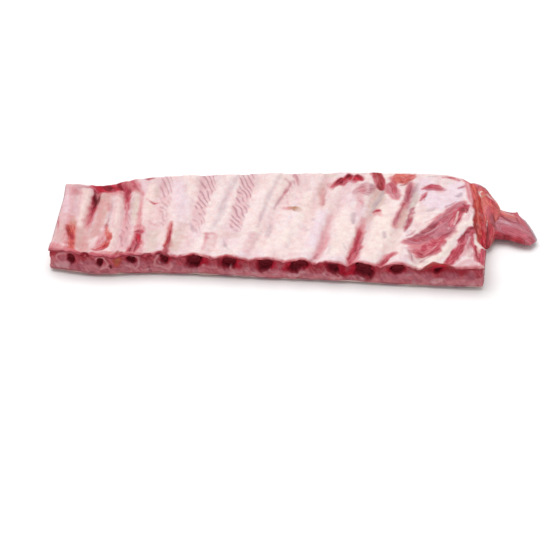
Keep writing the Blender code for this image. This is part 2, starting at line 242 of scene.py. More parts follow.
leftEnd = [
    ("pinkish", [(-0.60, 0.95), (-0.45, 0.5), (-0.50, 0.05)], (7, 8, 7), 8, (0.9, 0.8, 0.8), 0.0),
    ("lilac", [(-0.56, 0.90), (-0.50, 0.60)], (3, 3), 6, 0.6, 0.4),
    ("mauve", [(-0.36, 0.965), (0.02, 0.955), (0.22, 0.965)], (1.2, 1.6, 1.6), 3, (0.4, 0.8, 0.8), 0.0),
    ("blush", [(-0.40, 0.91), (-0.10, 0.89), (0.16, 0.93)], (5, 3, 1.5), 7, (0.5, 0.35, 0.5), 0.0),
    ("cream", [(0.05, 0.90), (0.08, 0.66), (0.09, 0.36)], (4.2, 4.4, 3.4), 4.5, (0.9, 1, 0.8), 0.7),
    ("pinkish", [(-0.16, 0.86), (-0.10, 0.58)], (2.0, 2.0), 5, 0.6, 0.0),
    ("beige", [(-0.52, 0.40), (-0.40, 0.15)], (5, 6), 6, 0.5, 0.0),
    ("rose", [(-0.665, 0.52), (-0.63, 0.45), (-0.58, 0.36), (-0.52, 0.24)], (0.7, 1.4, 0.9, 0.5), 2.4, (0.3, 0.7, 0.4, 0.1), -0.3),
    ("blush", [(-0.66, 0.07), (-0.40, 0.04), (-0.15, 0.04)], (5, 5, 4), 6, 0.75, 0.0),
    # the first bared rib: orange marrow, its darker saw edge on the left
    ("blush", [(-0.24, 0.52), (-0.16, 0.30), (-0.06, 0.0)], (5.0, 7, 6), 6, (0.3, 0.8, 0.8), -0.2),
    ("tan", [(-0.24, 0.53), (-0.17, 0.46), (-0.12, 0.40)], (2.4, 3.4, 2.4), 3.5, (0.3, 0.6, 0.5), -0.2),
    ("salmon", [(-0.26, 0.44), (-0.20, 0.38), (-0.12, 0.26), (-0.03, 0.12), (0.05, -0.02)], (2.5, 4, 4.4, 3.4, 4.2), 2.6, (0.4, 0.85, 0.9, 0.95, 1), -0.7),
    ("marrow", [(-0.26, 0.40), (-0.14, 0.27), (-0.04, 0.12), (0.03, 0.0)], (1.8, 3.2, 2.2, 2.8), 2.4, (0.4, 0.8, 0.5, 0.8), -0.2),
    ("flesh", [(-0.17, 0.30), (-0.10, 0.245), (-0.04, 0.20)], (1.4, 3.0, 1.4), 2.4, (0.5, 0.95, 0.4), 0.0),
    ("crimson", [(-0.14, 0.27), (-0.07, 0.235)], (0.8, 1.1), 1.8, (0.4, 0.6), 0.0),
    ("rust", [(-0.36, 0.40), (-0.29, 0.35), (-0.20, 0.26), (-0.13, 0.12)], (0.9, 2.0, 1.2, 0.7), 2, (0.6, 1, 0.7, 0.3), -0.3),
    ("beige", [(0.14, 0.34), (0.26, 0.12)], (5, 6), 6, 0.7, 0.0),
    ("blush", [(0.30, 0.30), (0.36, 0.06)], (3, 4), 6, 0.4, 0.0),
    # the groove beside it
    ("blush", [(0.36, 0.84), (0.27, 0.52), (0.22, 0.36)], (5.6, 5.0, 3), 5, (0.8, 0.75, 0.1), 0.0),
    ("rose", [(0.42, 0.98), (0.33, 0.75), (0.28, 0.55), (0.24, 0.42)], (5, 3.8, 2.6, 1.4), 3, (1, 0.9, 0.6, 0.1), -0.5),
    ("crimson", [(0.42, 1.0), (0.37, 0.86), (0.33, 0.70), (0.29, 0.58)], (4.8, 3.8, 2.0, 0.8), 2.6, (1, 1, 0.6, 0.1), -0.5),
    ("clot", [(0.38, 0.955), (0.38, 0.89), (0.36, 0.82), (0.33, 0.75)], (2.0, 3.0, 2.6, 1.2), 2.4, (0.8, 1, 1, 0.5), -0.4),
    # muscle laid bare along the back edge and down beside the second rib
    ("blush", [(0.46, 0.92), (0.90, 0.89), (1.30, 0.87)], (4.5, 4.0, 6), 5, (0.7, 0.6, 0.8), 0.0),
    ("rose", [(0.24, 0.975), (0.60, 0.95), (1.0, 0.94), (1.44, 0.94)], (3.4, 6.4, 6.0, 6.0), 2.6, (0.9, 1, 1, 0.95), -0.2),
    ("blood", [(0.40, 0.975), (0.60, 0.945), (0.84, 0.955), (1.06, 0.935), (1.22, 0.95), (1.42, 0.93)], (2.6, 5.2, 4.0, 5.2, 4.2, 4.8), 2.4, (0.95, 0.9, 0.75, 0.95, 0.75, 0.95), -0.2),
    ("crimson", [(0.52, 0.985), (0.66, 0.95), (0.80, 0.935), (0.94, 0.93)], (1.6, 3.6, 3.4, 1.6), 2, (0.8, 1, 0.9, 0.6), -0.3),
    ("crimson", [(1.02, 0.98), (1.14, 0.94), (1.24, 0.925), (1.34, 0.95)], (1.2, 3.6, 3.2, 1.8), 2, (0.7, 1, 0.95, 0.7), -0.3),
    ("clot", [(0.70, 0.975), (0.80, 0.95)], (1.1, 1.8), 1.8, 0.75, -0.1),
    ("clot", [(1.08, 0.94), (1.14, 0.935)], (1.0, 1.2), 1.6, 0.5, -0.1),
    ("pinkish", [(0.90, 0.99), (0.95, 0.975)], (0.8, 1.2), 1.8, 0.45, 0.2),
    ("rose", [(1.36, 0.94), (1.42, 0.80), (1.49, 0.66), (1.53, 0.46)], (5.0, 3.4, 2.2, 1.2), 3.2, (0.9, 0.85, 0.6, 0.15), -0.3),
    ("flesh", [(1.37, 0.96), (1.39, 0.88), (1.43, 0.78)], (2.6, 2.4, 1.0), 2.6, (0.8, 0.7, 0.3), 0.0),
    ("blush", [(1.50, 0.97), (1.70, 0.90), (1.98, 0.82)], (6, 5, 2), 5, (0.8, 0.8, 0.3), 0.0),
    ("rose", [(1.52, 0.985), (1.64, 0.92), (1.86, 0.84)], (1.4, 1.8, 0.8), 2.6, (0.6, 0.6, 0.3), 0.1),
    # the second rib: a bared strip that curls to the left
    ("beige", [(0.66, 0.86), (0.66, 0.60), (0.60, 0.34)], (5.5, 6, 5.5), 7, (0.8, 0.85, 0.75), 0.2),
    ("blush", [(0.56, 0.80), (0.62, 0.55), (0.58, 0.30)], (3, 3.4, 3), 7, (0.35, 0.4, 0.35), 0.0),
    ("blush", [(0.80, 0.86), (0.86, 0.66)], (2, 2.5), 5, (0.3, 0.5), 0.0),
    ("cream", [(1.16, 0.84), (1.18, 0.60), (1.22, 0.34), (1.22, 0.16)], (3.4, 3.8, 3.2, 3), 5, (0.4, 0.8, 0.6, 0.4), 0.6),
    ("pinkish", [(1.08, 0.80), (1.10, 0.56), (1.14, 0.40)], (1.4, 1.6, 1.4), 4, (0.4, 0.5, 0.4), 0.0),
    ("blush", [(0.90, 0.44), (0.90, 0.26), (0.80, 0.12)], (2.4, 5, 6.5), 5, (0.4, 0.7, 0.8), 0.0),
    ("rust", [(0.94, 0.54), (0.92, 0.44), (0.93, 0.38)], (0.7, 1.3, 1.2), 2.4, (0.3, 0.6, 0.5), -0.3),
    ("salmon", [(0.93, 0.42), (1.00, 0.34), (1.09, 0.28), (1.06, 0.21)], (1.2, 2.4, 3.0, 2.6), 2.4, (0.5, 0.9, 0.9, 0.9), -0.4),
    ("marrow", [(1.13, 0.33), (1.11, 0.25), (1.03, 0.175), (0.92, 0.12), (0.78, 0.09), (0.64, 0.10)], (1.0, 2.0, 3.2, 4.0, 3.6, 1.8), 2.6, (0.7, 0.9, 0.95, 1, 0.9, 0.5), -0.6),
    ("flesh", [(1.04, 0.17), (0.92, 0.11), (0.78, 0.08)], (1.4, 2.6, 1.8), 2.4, (0.6, 0.85, 0.7), -0.1),
    ("pinkish", [(0.92, 0.30), (1.00, 0.25), (1.06, 0.23)], (0.8, 1.3, 0.8), 2, (0.4, 0.6, 0.4), 0.3),
    ("salmon", [(0.74, 0.15), (0.88, 0.17), (0.96, 0.22)], (0.8, 1.2, 0.8), 2, (0.4, 0.6, 0.4), 0.1),
    ("salmon", [(1.05, 0.03), (1.25, 0.03), (1.38, 0.06)], (3, 5, 2.4), 4, (0.5, 0.6, 0.3), 0.0),
    ("blush", [(0.70, 0.03), (0.95, 0.03)], (3, 3), 4, 0.5, 0.0),
    # between the second and third ribs
    ("blush", [(1.52, 0.54), (1.56, 0.18)], (2, 2.4), 4, (0.3, 0.4), 0.0),
    ("rust", [(1.48, 0.10), (1.53, 0.05), (1.56, 0.0)], (0.8, 3.8, 6.5), 2.6, (0.6, 0.9, 1), -0.2),
    ("sage", [(1.74, 0.84), (1.78, 0.64), (1.86, 0.44)], (3.0, 3.6, 2.6), 5, (0.5, 0.9, 0.5), 0.5),
    ("grey", [(1.64, 0.78), (1.66, 0.56)], (1.0, 1.2), 3, (0.3, 0.35), -0.2),
    ("pinkish", [(1.70, 0.42), (1.76, 0.10)], (4, 4), 6, 0.7, 0.0),
    ("blush", [(1.92, 0.84), (1.96, 0.56), (2.02, 0.36)], (1.6, 2.4, 2.4), 3.4, (0.5, 0.75, 0.7), -0.4),
    ("cream", [(2.18, 0.90), (2.22, 0.66), (2.28, 0.48)], (4.6, 3.8, 3.0), 5, (0.9, 0.8, 0.5), 0.4),
    ("sage", [(2.34, 0.88), (2.38, 0.80)], (2.0, 2.4), 3, 0.5, 0.0),
    ("flesh", [(1.90, 0.985), (2.06, 0.97), (2.22, 0.975)], (0.8, 2.2, 1.0), 2.4, (0.5, 0.85, 0.6), -0.1),
    ("rose", [(2.04, 0.765), (2.20, 0.72), (2.34, 0.70), (2.46, 0.715)], (0.6, 1.0, 1.8, 2.0), 2.2, (0.4, 0.7, 0.8, 0.4), -0.2),
    ("rose", [(2.33, 0.47), (2.40, 0.44), (2.50, 0.42)], (1.2, 1.2, 1.4), 3, (0.3, 0.4, 0.3), 0.0),
    ("sage", [(2.52, 0.32), (2.64, 0.08)], (5, 5.5), 7, 0.6, 0.0),
    # the third rib
    ("blush", [(2.06, 0.36), (2.06, 0.0)], (6.0, 7.0), 4, (0.7, 0.75), 0.0),
    ("rose", [(2.07, 0.315), (2.05, 0.16), (1.97, -0.02)], (4.2, 4.0, 4.4), 2.2, (0.9, 0.95, 1), -0.8),
    ("dusk", [(1.94, 0.315), (2.04, 0.32), (2.16, 0.31)], (1.2, 1.8, 1.0), 2, (0.6, 0.8, 0.4), 0.0),
    ("blood", [(2.03, 0.285), (2.10, 0.25), (2.13, 0.20)], (2.2, 3.2, 2.0), 2.2, (0.7, 0.95, 0.6), 0.2),
    ("dusk", [(1.97, 0.18), (1.94, 0.08), (1.91, -0.02)], (0.9, 1.6, 1.8), 2, (0.5, 0.85, 1), -0.1),
    ("dusk", [(2.10, 0.17), (2.08, 0.02)], (1.0, 1.6), 2, 0.7, -0.1),
    ("blush", [(2.02, 0.14), (2.02, 0.06)], (0.7, 0.9), 1.6, 0.6, 0.1),
    # the fourth
    ("blush", [(3.02, 0.42), (3.08, 0.22), (3.14, 0.04)], (2.2, 4.2, 4.8), 3.6, (0.5, 0.8, 0.8), 0.0),
    ("salmon", [(3.03, 0.43), (3.04, 0.30), (3.06, 0.16), (3.08, 0.06)], (0.8, 1.9, 2.2, 1.4), 2, (0.5, 0.85, 0.85, 0.4), -0.4),
    ("flesh", [(3.05, 0.40), (3.09, 0.24), (3.12, 0.04)], (0.9, 2.2, 2.8), 2, (0.5, 0.95, 1), -0.4),
    ("dusk", [(3.10, 0.22), (3.14, 0.10), (3.17, 0.02)], (0.6, 1.3, 1.8), 1.8, (0.5, 0.8, 1), -0.2),
    ("sage", [(3.26, 0.30), (3.32, 0.08)], (2.4, 3.4), 5, (0.2, 0.5), 0.0),
]

middle = [
    ("lilac", [(2.95, 0.90), (3.20, 0.60), (3.30, 0.40)], (7, 7, 5), 8, (0.8, 0.6, 0.3), 0.0),
    ("beige", [(3.36, 0.40), (3.34, 0.10)], (5, 6), 8, (0.4, 0.5), 0.0),
    ("membrane", [(4.06, 0.90), (4.06, 0.50)], (3, 4), 6, 0.9, 0.3),
    ("membrane", [(5.10, 0.90), (5.10, 0.50), (5.1, 0.1)], (3, 4, 4), 6, 0.8, 0.3),
    ("beige", [(4.62, 0.30), (4.95, 0.26)], (6, 5), 7, 0.35, 0.0),
    ("grey", [(3.56, 0.44), (3.64, 0.37), (3.74, 0.31)], (1.2, 1.9, 1.0), 3, (0.3, 0.7, 0.3), -0.3),
    ("pinkish", [(3.58, 0.26), (3.74, 0.14)], (2, 2), 4, 0.4, -0.2),
    ("pinkish", [(4.22, 0.28), (4.26, 0.06)], (4.4, 4.4), 4, 0.5, 0.0),
    ("blush", [(4.06, 0.29), (4.20, 0.295), (4.36, 0.285)], (1.2, 1.6, 1.2), 3, (0.4, 0.5, 0.4), -0.1),
    ("blush", [(4.12, 0.28), (4.16, 0.17), (4.20, 0.07)], (1.5, 1.5, 1.0), 3, (0.6, 0.5, 0.25), -0.1),
    ("blush", [(4.38, 0.27), (4.41, 0.17), (4.42, 0.08)], (1.2, 1.4, 1.0), 3.4, (0.4, 0.35, 0.2), -0.1),
    ("mauve", [(4.10, 0.245), (4.20, 0.24)], (1.2, 1.2), 2.4, 0.4, 0.0),
    ("grey", [(4.60, 0.24), (4.70, 0.18), (4.82, 0.11)], (1.0, 1.9, 1.0), 3, (0.3, 0.65, 0.3), -0.3),
    ("pinkish", [(5.30, 0.30), (5.36, 0.10)], (4, 5), 6, 0.6, 0.0),
    ("mauve", [(5.52, 0.94), (5.66, 0.90), (5.60, 0.80)], (1.4, 2.6, 1.4), 3, (0.4, 0.55, 0.45), -0.2),
    ("mauve", [(5.72, 0.97), (5.84, 0.92), (5.92, 0.87)], (1.6, 1.8, 1.0), 2.6, (0.5, 0.65, 0.35), -0.1),
    ("mauve", [(5.64, 0.84), (5.58, 0.72), (5.54, 0.60)], (1.5, 1.4, 1.1), 2.6, (0.55, 0.6, 0.35), -0.3),
    ("grey", [(5.58, 0.78), (5.54, 0.62)], (1.0, 0.9), 2.4, 0.4, -0.1),
    ("pinkish", [(5.72, 0.76), (5.82, 0.68), (5.96, 0.60)], (1.0, 1.3, 1.0), 2.4, (0.6, 0.8, 0.4), 0.0),
    ("blush", [(5.78, 0.62), (5.94, 0.60), (6.06, 0.595)], (2.2, 3.6, 2.4), 3.4, (0.5, 0.7, 0.6), 0.2),
    ("tan", [(5.98, 0.61), (6.10, 0.60), (6.24, 0.585)], (2.4, 4.2, 3.0), 2.4, (0.7, 1, 0.9), 0.4),
    ("grey", [(6.18, 0.575), (6.24, 0.57)], (1.3, 1.3), 2, 0.6, 0.1),
    ("beige", [(6.30, 0.66), (6.50, 0.60)], (6, 5), 7, 0.3, 0.0),
    ("grey", [(5.64, 0.42), (5.68, 0.30)], (1.8, 2.4), 4, (0.4, 0.5), -0.4),
    ("cream", [(6.30, 0.75), (6.40, 0.55), (6.2, 0.25)], (6, 7, 6), 8, 0.6, 0.3),
    # the beige over this shallow hollow is painted shade
    ("beige", [(6.62, 0.88), (6.74, 0.76), (6.84, 0.66)], (4.4, 4.2, 3.0), 5, (0.6, 0.7, 0.6), -0.2),
    ("blush", [(6.66, 0.86), (6.78, 0.74), (6.90, 0.64)], (2.0, 2.6, 2.0), 4, (0.35, 0.4, 0.35), -0.2),
    ("mauve", [(6.76, 0.84), (6.84, 0.72), (6.92, 0.66)], (0.8, 1.2, 1.2), 3, (0.2, 0.3, 0.45), 0.0),
    ("sage", [(6.62, 0.97), (6.80, 0.96), (7.0, 0.96)], (1.4, 1.6, 1.2), 2.6, 0.6, -0.2),
    ("grey", [(6.76, 0.49), (6.96, 0.44)], (1.1, 1.1), 2.4, 0.55, -0.2),
    ("grey", [(6.62, 0.40), (6.80, 0.35)], (1.4, 1.2), 3.4, 0.3, -0.1),
    ("lilac", [(7.0, 0.55), (7.1, 0.2)], (6, 6), 8, 0.8, 0.4),
    # a hollow where pink muscle shows through thin membrane
    ("pinkish", [(7.30, 0.58), (7.34, 0.40), (7.46, 0.22), (7.38, 0.02)], (3.2, 4.4, 5.6, 3.2), 6, (0.5, 0.75, 0.8, 0.75), -0.3),
    ("blush", [(7.32, 0.54), (7.35, 0.38), (7.46, 0.22), (7.38, 0.06)], (1.2, 2.2, 3.8, 2.2), 5, (0.2, 0.4, 0.55, 0.5), -0.3),
    ("mauve", [(7.42, 0.12), (7.36, 0.06), (7.30, 0.0)], (0.9, 1.5, 1.6), 2.6, (0.3, 0.6, 0.6), -0.1),
    ("cream", [(7.9, 0.40), (7.95, 0.10)], (6, 7), 8, 0.7, 0.4),
    ("grey", [(7.70, 0.20), (7.78, 0.10)], (1.4, 1.4), 3.4, 0.35, -0.2),
    # torn muscle along the back edge
    ("blush", [(6.90, 0.87), (7.40, 0.93), (7.86, 0.93)], (4.0, 4.4, 4.4), 3.4, 0.6, 0.0),
    ("rose", [(6.93, 0.865), (7.04, 0.885), (7.12, 0.90)], (2.0, 3.6, 2.4), 2, (0.7, 1, 0.9), 0.1),
    ("rose", [(7.10, 0.875), (7.22, 0.92)], (2.4, 2.4), 2, 0.9, 0.1),
    ("blood", [(6.98, 0.875), (7.06, 0.89)], (1.2, 2.2), 2, (0.7, 0.8), 0.1),
    ("rose", [(7.28, 0.93), (7.38, 0.95), (7.54, 0.94)], (2.6, 4.2, 3.4), 2, (0.8, 1, 0.9), 0.1),
    ("rose", [(7.60, 0.94), (7.72, 0.945), (7.86, 0.925)], (2.6, 4.0, 3.2), 2, (0.8, 1, 1), 0.1),
    ("crimson", [(7.32, 0.93), (7.40, 0.95), (7.50, 0.945)], (1.6, 3.0, 1.8), 2, (0.8, 1, 0.8), 0.0),
    ("crimson", [(7.62, 0.945), (7.72, 0.95), (7.82, 0.93)], (1.4, 2.4, 1.8), 2, (0.8, 0.95, 0.8), 0.0),
    ("rose", [(7.02, 0.86), (7.20, 0.895), (7.40, 0.915), (7.64, 0.915)], (2.4, 4.4, 4.0, 3.0), 2, (0.6, 0.8, 0.7, 0.6), 0.0),
    ("crimson", [(7.02, 0.875), (7.14, 0.90), (7.22, 0.925)], (1.6, 3.0, 1.8), 1.8, (0.7, 0.9, 0.7), 0.1),
    ("blood", [(7.30, 0.925), (7.46, 0.935), (7.62, 0.935), (7.80, 0.925)], (2.2, 3.6, 3.2, 2.4), 1.8, (0.7, 0.9, 0.85, 0.8), 0.1),
    ("clot", [(7.36, 0.935), (7.44, 0.95)], (1.4, 2.0), 1.8, 0.6, -0.1),
    ("clot", [(7.68, 0.955), (7.76, 0.945)], (0.8, 1.2), 1.8, 0.35, -0.1),
    ("pinkish", [(7.54, 0.92), (7.60, 0.96)], (0.8, 1.2), 1.6, 0.5, 0.2),
]

rightEnd = [
    ("mauve", [(7.88, 0.80), (8.10, 0.83), (8.36, 0.85)], (6.5, 9.5, 6.0), 5, (0.55, 0.7, 0.6), 0.4),
    ("blush", [(7.84, 0.84), (8.02, 0.82), (8.10, 0.74)], (3.0, 3.4, 2.0), 4, (0.4, 0.45, 0.3), 0.0),
    ("grey", [(8.10, 0.89), (8.30, 0.87)], (1.6, 2.0), 3, 0.4, -0.2),
    ("pinkish", [(8.16, 0.88), (8.24, 0.82)], (2, 2), 3, 0.6, 0.3),
    ("pinkish", [(8.02, 0.73), (8.16, 0.66), (8.18, 0.56)], (5.4, 5.0, 3.0), 5, (0.8, 0.8, 0.5), 0.1),
    ("blush", [(8.10, 0.70), (8.20, 0.68)], (2.0, 2.0), 3, 0.5, 0.1),
    ("grey", [(8.06, 0.56), (8.16, 0.45)], (2.4, 1.8), 3.4, 0.6, -0.5),
    # painted shade: beige, sage and grey laid down a wide hollow
    ("beige", [(8.66, 0.82), (8.70, 0.66), (8.64, 0.52)], (7, 7, 4), 7, (0.8, 0.7, 0.4), -0.2),
    ("sage", [(8.76, 0.80), (8.66, 0.60)], (4.4, 3.4), 5, 0.75, 0.0),
    ("grey", [(8.76, 0.82), (8.68, 0.70), (8.62, 0.56)], (2.6, 3.0, 1.6), 4, (0.6, 0.7, 0.4), -0.4),
    ("rose", [(8.32, 0.98), (8.44, 0.945), (8.61, 0.87)], (5.4, 7.0, 6.2), 2.6, (0.8, 0.95, 0.9), 0.4),
    ("rust", [(8.36, 0.98), (8.47, 0.935), (8.60, 0.865)], (3.4, 4.8, 4.2), 2.4, (0.8, 0.8, 0.7), 0.3),
    ("blush", [(8.34, 0.96), (8.44, 0.92), (8.50, 0.87)], (0.6, 1.2, 0.8), 2, (0.4, 0.6, 0.5), 0.1),
    # painted shadow: dark red under the ragged lower edge of the flap above
    ("dusk", [(8.50, 0.875), (8.66, 0.85), (8.82, 0.84)], (1.6, 2.4, 1.2), 2.6, (0.6, 0.65, 0.3), -0.6),
    ("blush", [(8.92, 0.93), (9.20, 0.93), (9.56, 0.955)], (4.5, 7.5, 3.0), 3.4, 0.8, 0.2),
    ("salmon", [(8.97, 0.895), (9.14, 0.93), (9.36, 0.935), (9.58, 0.96)], (3.4, 8.0, 8.0, 3.4), 3, (0.6, 0.85, 0.95, 0.8), 0.6),
    ("marrow", [(9.20, 0.92), (9.36, 0.915), (9.54, 0.955)], (1.6, 3.0, 1.8), 3, (0.3, 0.5, 0.6), 0.2),
    ("rose", [(9.04, 0.90), (9.08, 0.85), (9.20, 0.81)], (3.0, 4.0, 3.0), 3, (0.5, 0.6, 0.5), 0.1),
    ("rust", [(9.26, 0.875), (9.42, 0.885), (9.50, 0.92)], (0.8, 1.6, 1.2), 2, (0.4, 0.6, 0.5), -0.2),
    ("pinkish", [(9.24, 0.945), (9.34, 0.935)], (1.0, 1.4), 2, 0.45, 0.2),
    ("blush", [(8.92, 0.87), (9.10, 0.81), (9.26, 0.74)], (5.0, 9.0, 5.6), 4, 0.8, 0.2),
    ("mauve", [(8.92, 0.88), (9.06, 0.82), (9.26, 0.75)], (3.6, 6.0, 4.4), 3.4, (0.6, 0.5, 0.5), 0.2),
    ("rose", [(8.94, 0.88), (9.08, 0.85), (9.16, 0.80)], (2.0, 3.0, 1.8), 3, (0.5, 0.5, 0.35), 0.1),
    ("cream", [(9.0, 0.60), (9.14, 0.40), (9.10, 0.08)], (7, 9, 8), 8, (0.7, 0.85, 0.7), 0.8),
    ("blush", [(8.74, 0.62), (8.86, 0.56), (9.04, 0.52)], (2.4, 4.0, 2.2), 3.4, (0.5, 0.65, 0.35), 0.2),
    ("rose", [(8.74, 0.60), (8.84, 0.59)], (2.2, 2.6), 2.4, 0.85, 0.3),
    ("crimson", [(8.79, 0.595), (8.84, 0.59)], (0.9, 1.1), 1.8, 0.5, 0.0),
    ("grey", [(9.28, 0.33), (9.34, 0.28)], (2.0, 2.2), 3, 0.55, -0.4),
    ("grey", [(8.12, 0.22), (8.28, 0.16)], (1.0, 1.0), 2.4, 0.4, -0.1),
    ("pinkish", [(8.80, 0.20), (9.10, 0.10)], (2.2, 1.6), 5, 0.3, -0.2),
    # the strip of muscle between the ninth and tenth ribs
    ("blush", [(8.46, 0.52), (8.48, 0.40), (8.56, 0.20), (8.60, 0.02)], (2.6, 4.2, 6.0, 6.0), 4, (0.4, 0.8, 0.85, 0.85), 0.0),
    ("rose", [(8.46, 0.40), (8.50, 0.30), (8.57, 0.18), (8.58, 0.02)], (1.8, 3.4, 4.4, 3.0), 2.6, (0.5, 0.9, 0.95, 0.9), -0.6),
    ("blood", [(8.47, 0.38), (8.50, 0.32), (8.56, 0.24)], (1.0, 1.6, 1.0), 2.4, (0.5, 0.5, 0.3), -0.2),
    ("flesh", [(8.48, 0.34), (8.52, 0.20), (8.50, 0.06)], (0.6, 1.2, 1.4), 2, (0.5, 0.6, 0.7), -0.2),
    ("mauve", [(8.66, 0.30), (8.70, 0.12)], (1.2, 1.6), 2.6, 0.5, 0.1),
    # the dark pair by the eleventh
    ("blush", [(9.60, 0.88), (9.62, 0.70), (9.52, 0.42)], (5.4, 4.4, 3.4), 3.6, (0.75, 0.75, 0.6), 0.0),
    ("mauve", [(9.58, 0.89), (9.62, 0.80), (9.62, 0.71)], (2.6, 4.2, 3.2), 2.2, (0.75, 0.8, 0.75), -0.4),
    ("rose", [(9.57, 0.88), (9.61, 0.80), (9.61, 0.72)], (1.4, 2.2, 1.6), 2.6, (0.4, 0.5, 0.4), -0.1),
    ("dusk", [(9.60, 0.87), (9.63, 0.80), (9.62, 0.735)], (0.9, 1.2, 0.9), 2, (0.4, 0.5, 0.4), -0.2),
    ("flesh", [(9.58, 0.68), (9.54, 0.58), (9.50, 0.42)], (1.4, 1.3, 1.0), 2.4, (0.7, 0.5, 0.4), -0.6),
    ("mauve", [(9.57, 0.62), (9.53, 0.52), (9.50, 0.44)], (1.6, 2.4, 1.6), 2.6, (0.4, 0.7, 0.5), 0.0),
    # painted shade: grey and sage down the hollow to the right of the pair
    ("grey", [(9.80, 0.88), (9.83, 0.74), (9.78, 0.60)], (3.8, 4.4, 2.8), 4.4, (0.6, 0.75, 0.5), -0.7),
    ("sage", [(9.84, 0.80), (9.84, 0.66)], (2.4, 2.4), 4, 0.6, 0.0),
    ("beige", [(9.68, 0.60), (9.72, 0.42)], (3.8, 3.4), 4, 0.75, 0.0),
    ("mauve", [(9.86, 0.62), (9.90, 0.50), (9.86, 0.36)], (2.4, 3.8, 2.4), 2.6, (0.7, 0.9, 0.7), -0.5),
    ("flesh", [(9.92, 0.56), (9.91, 0.48), (9.86, 0.38)], (1.0, 1.8, 1.2), 2.2, (0.5, 0.75, 0.6), -0.2),
    ("blush", [(9.50, 0.02), (9.62, 0.08), (9.76, 0.12)], (4.4, 5.0, 3.6), 3.4, 0.7, 0.0),
    ("rose", [(9.48, 0.0), (9.60, 0.06), (9.72, 0.115)], (2.6, 3.0, 2.0), 2.2, (1, 0.95, 0.7), -0.3),
    ("dusk", [(9.52, 0.02), (9.62, 0.07)], (0.9, 1.2), 2, 0.6, -0.1),
    # white fat over the thick end, with red where it was cut
    ("lilac", [(10.02, 0.90), (10.40, 0.70), (10.80, 0.72), (11.10, 0.88)], (8, 13, 13, 10), 6, 0.95, 0.9),
    ("cream", [(10.02, 0.52), (10.20, 0.46)], (4, 3), 5, 0.8, 0.8),
    ("lilac", [(10.75, 0.62), (11.05, 0.66), (11.30, 0.74)], (3, 4, 3), 4, 0.9, 0.8),
    ("pinkish", [(10.02, 0.86), (10.30, 0.84), (10.60, 0.80)], (3, 6, 4), 5, 0.6, 0.0),
    ("rose", [(9.99, 0.835), (10.14, 0.845), (10.32, 0.85), (10.46, 0.84), (10.66, 0.83)], (1.6, 4.6, 7.0, 6.0, 2.2), 2.6, (0.6, 0.8, 0.9, 0.85, 0.5), 0.3),
    ("mauve", [(10.14, 0.825), (10.34, 0.83), (10.52, 0.83)], (2.8, 4.2, 2.2), 2.4, 0.75, 0.0),
    ("flesh", [(10.16, 0.855), (10.34, 0.855), (10.50, 0.84)], (1.2, 2.2, 1.4), 2, (0.5, 0.7, 0.5), 0.0),
    ("rose", [(10.14, 0.80), (10.09, 0.75), (10.03, 0.70)], (1.6, 3.0, 1.6), 2.4, (0.5, 0.8, 0.6), 0.2),
    ("flesh", [(10.10, 0.73), (10.14, 0.70)], (0.8, 1.0), 1.8, 0.6, 0.0),
    ("grey", [(10.30, 0.575), (10.42, 0.585), (10.52, 0.61)], (1.4, 2.4, 1.2), 2.6, (0.5, 0.6, 0.4), -0.4),
    ("grey", [(10.0, 0.955), (10.30, 0.965)], (1.0, 1.0), 2.4, 0.5, -0.2),
    ("grey", [(10.60, 0.90), (10.90, 0.91)], (0.8, 0.8), 3, 0.3, -0.2),
    ("rose", [(10.50, 0.955), (10.80, 0.965), (11.12, 0.955)], (1.0, 1.9, 1.4), 2.2, (0.6, 0.9, 0.7), 0.2),
    ("mauve", [(11.14, 0.875), (11.24, 0.895), (11.34, 0.92)], (2.0, 2.6, 1.4), 2.4, 0.8, 0.1),
    ("grey", [(11.12, 0.77), (11.22, 0.79), (11.28, 0.83)], (1.8, 2.8, 1.4), 2.6, 0.6, -0.5),
    # the broad muscle laid bare across the corner, and the fat beside it
    ("cream", [(10.60, 0.02), (10.90, 0.12), (11.10, 0.28), (11.36, 0.42), (11.72, 0.53)], (4.5, 6.5, 6.0, 5.0, 3.0), 2.6, (0.8, 1, 1, 1, 0.9), 1.5),
    ("sage", [(11.12, 0.12), (11.26, 0.20), (11.32, 0.28)], (1.6, 2.4, 1.6), 4, 0.45, 0.2),
    ("membrane", [(10.80, 0.09), (11.02, 0.22), (11.22, 0.36), (11.50, 0.46)], (2.4, 3.0, 3.0, 2.4), 3, 0.8, 0.3),
    ("blush", [(10.00, 0.235), (10.34, 0.24), (10.62, 0.27), (10.90, 0.40), (11.20, 0.60), (11.42, 0.73)], (5, 13.5, 16.5, 14.5, 9, 4.5), 4, 0.85, 0.2),
    ("mauve", [(10.00, 0.24), (10.34, 0.25), (10.62, 0.28), (10.90, 0.40), (11.20, 0.60), (11.40, 0.72)], (3.0, 11.5, 14.5, 12.5, 7.5, 3), 3, (0.7, 0.8, 0.85, 0.85, 0.8, 0.7), 0.5),
    ("blush", [(10.18, 0.17), (10.40, 0.14), (10.64, 0.15), (10.86, 0.24)], (4, 9.5, 11, 7), 4, (0.7, 0.85, 0.9, 0.8), 0.1),
    ("rose", [(10.24, 0.16), (10.46, 0.12), (10.68, 0.15), (10.86, 0.22), (11.02, 0.31)], (2.8, 6.5, 8.0, 6.5, 3.0), 3.8, (0.45, 0.8, 0.9, 0.8, 0.5), 0.2),
    ("flesh", [(10.04, 0.27), (10.26, 0.25), (10.50, 0.28), (10.66, 0.34)], (1.8, 3.0, 2.6, 1.2), 3, (0.6, 0.7, 0.7, 0.4), -0.4),
    ("blush", [(10.10, 0.21), (10.26, 0.19), (10.40, 0.20)], (1.2, 1.8, 1.2), 2.4, 0.6, 0.4),
    ("dusk", [(10.12, 0.28), (10.34, 0.325), (10.57, 0.38), (10.80, 0.46)], (1.2, 2.6, 3.2, 1.6), 3.4, (0.4, 0.6, 0.75, 0.4), -0.4),
    ("mauve", [(10.34, 0.285), (10.54, 0.32), (10.74, 0.38)], (1.2, 1.6, 1.0), 2.4, 0.6, 0.3),
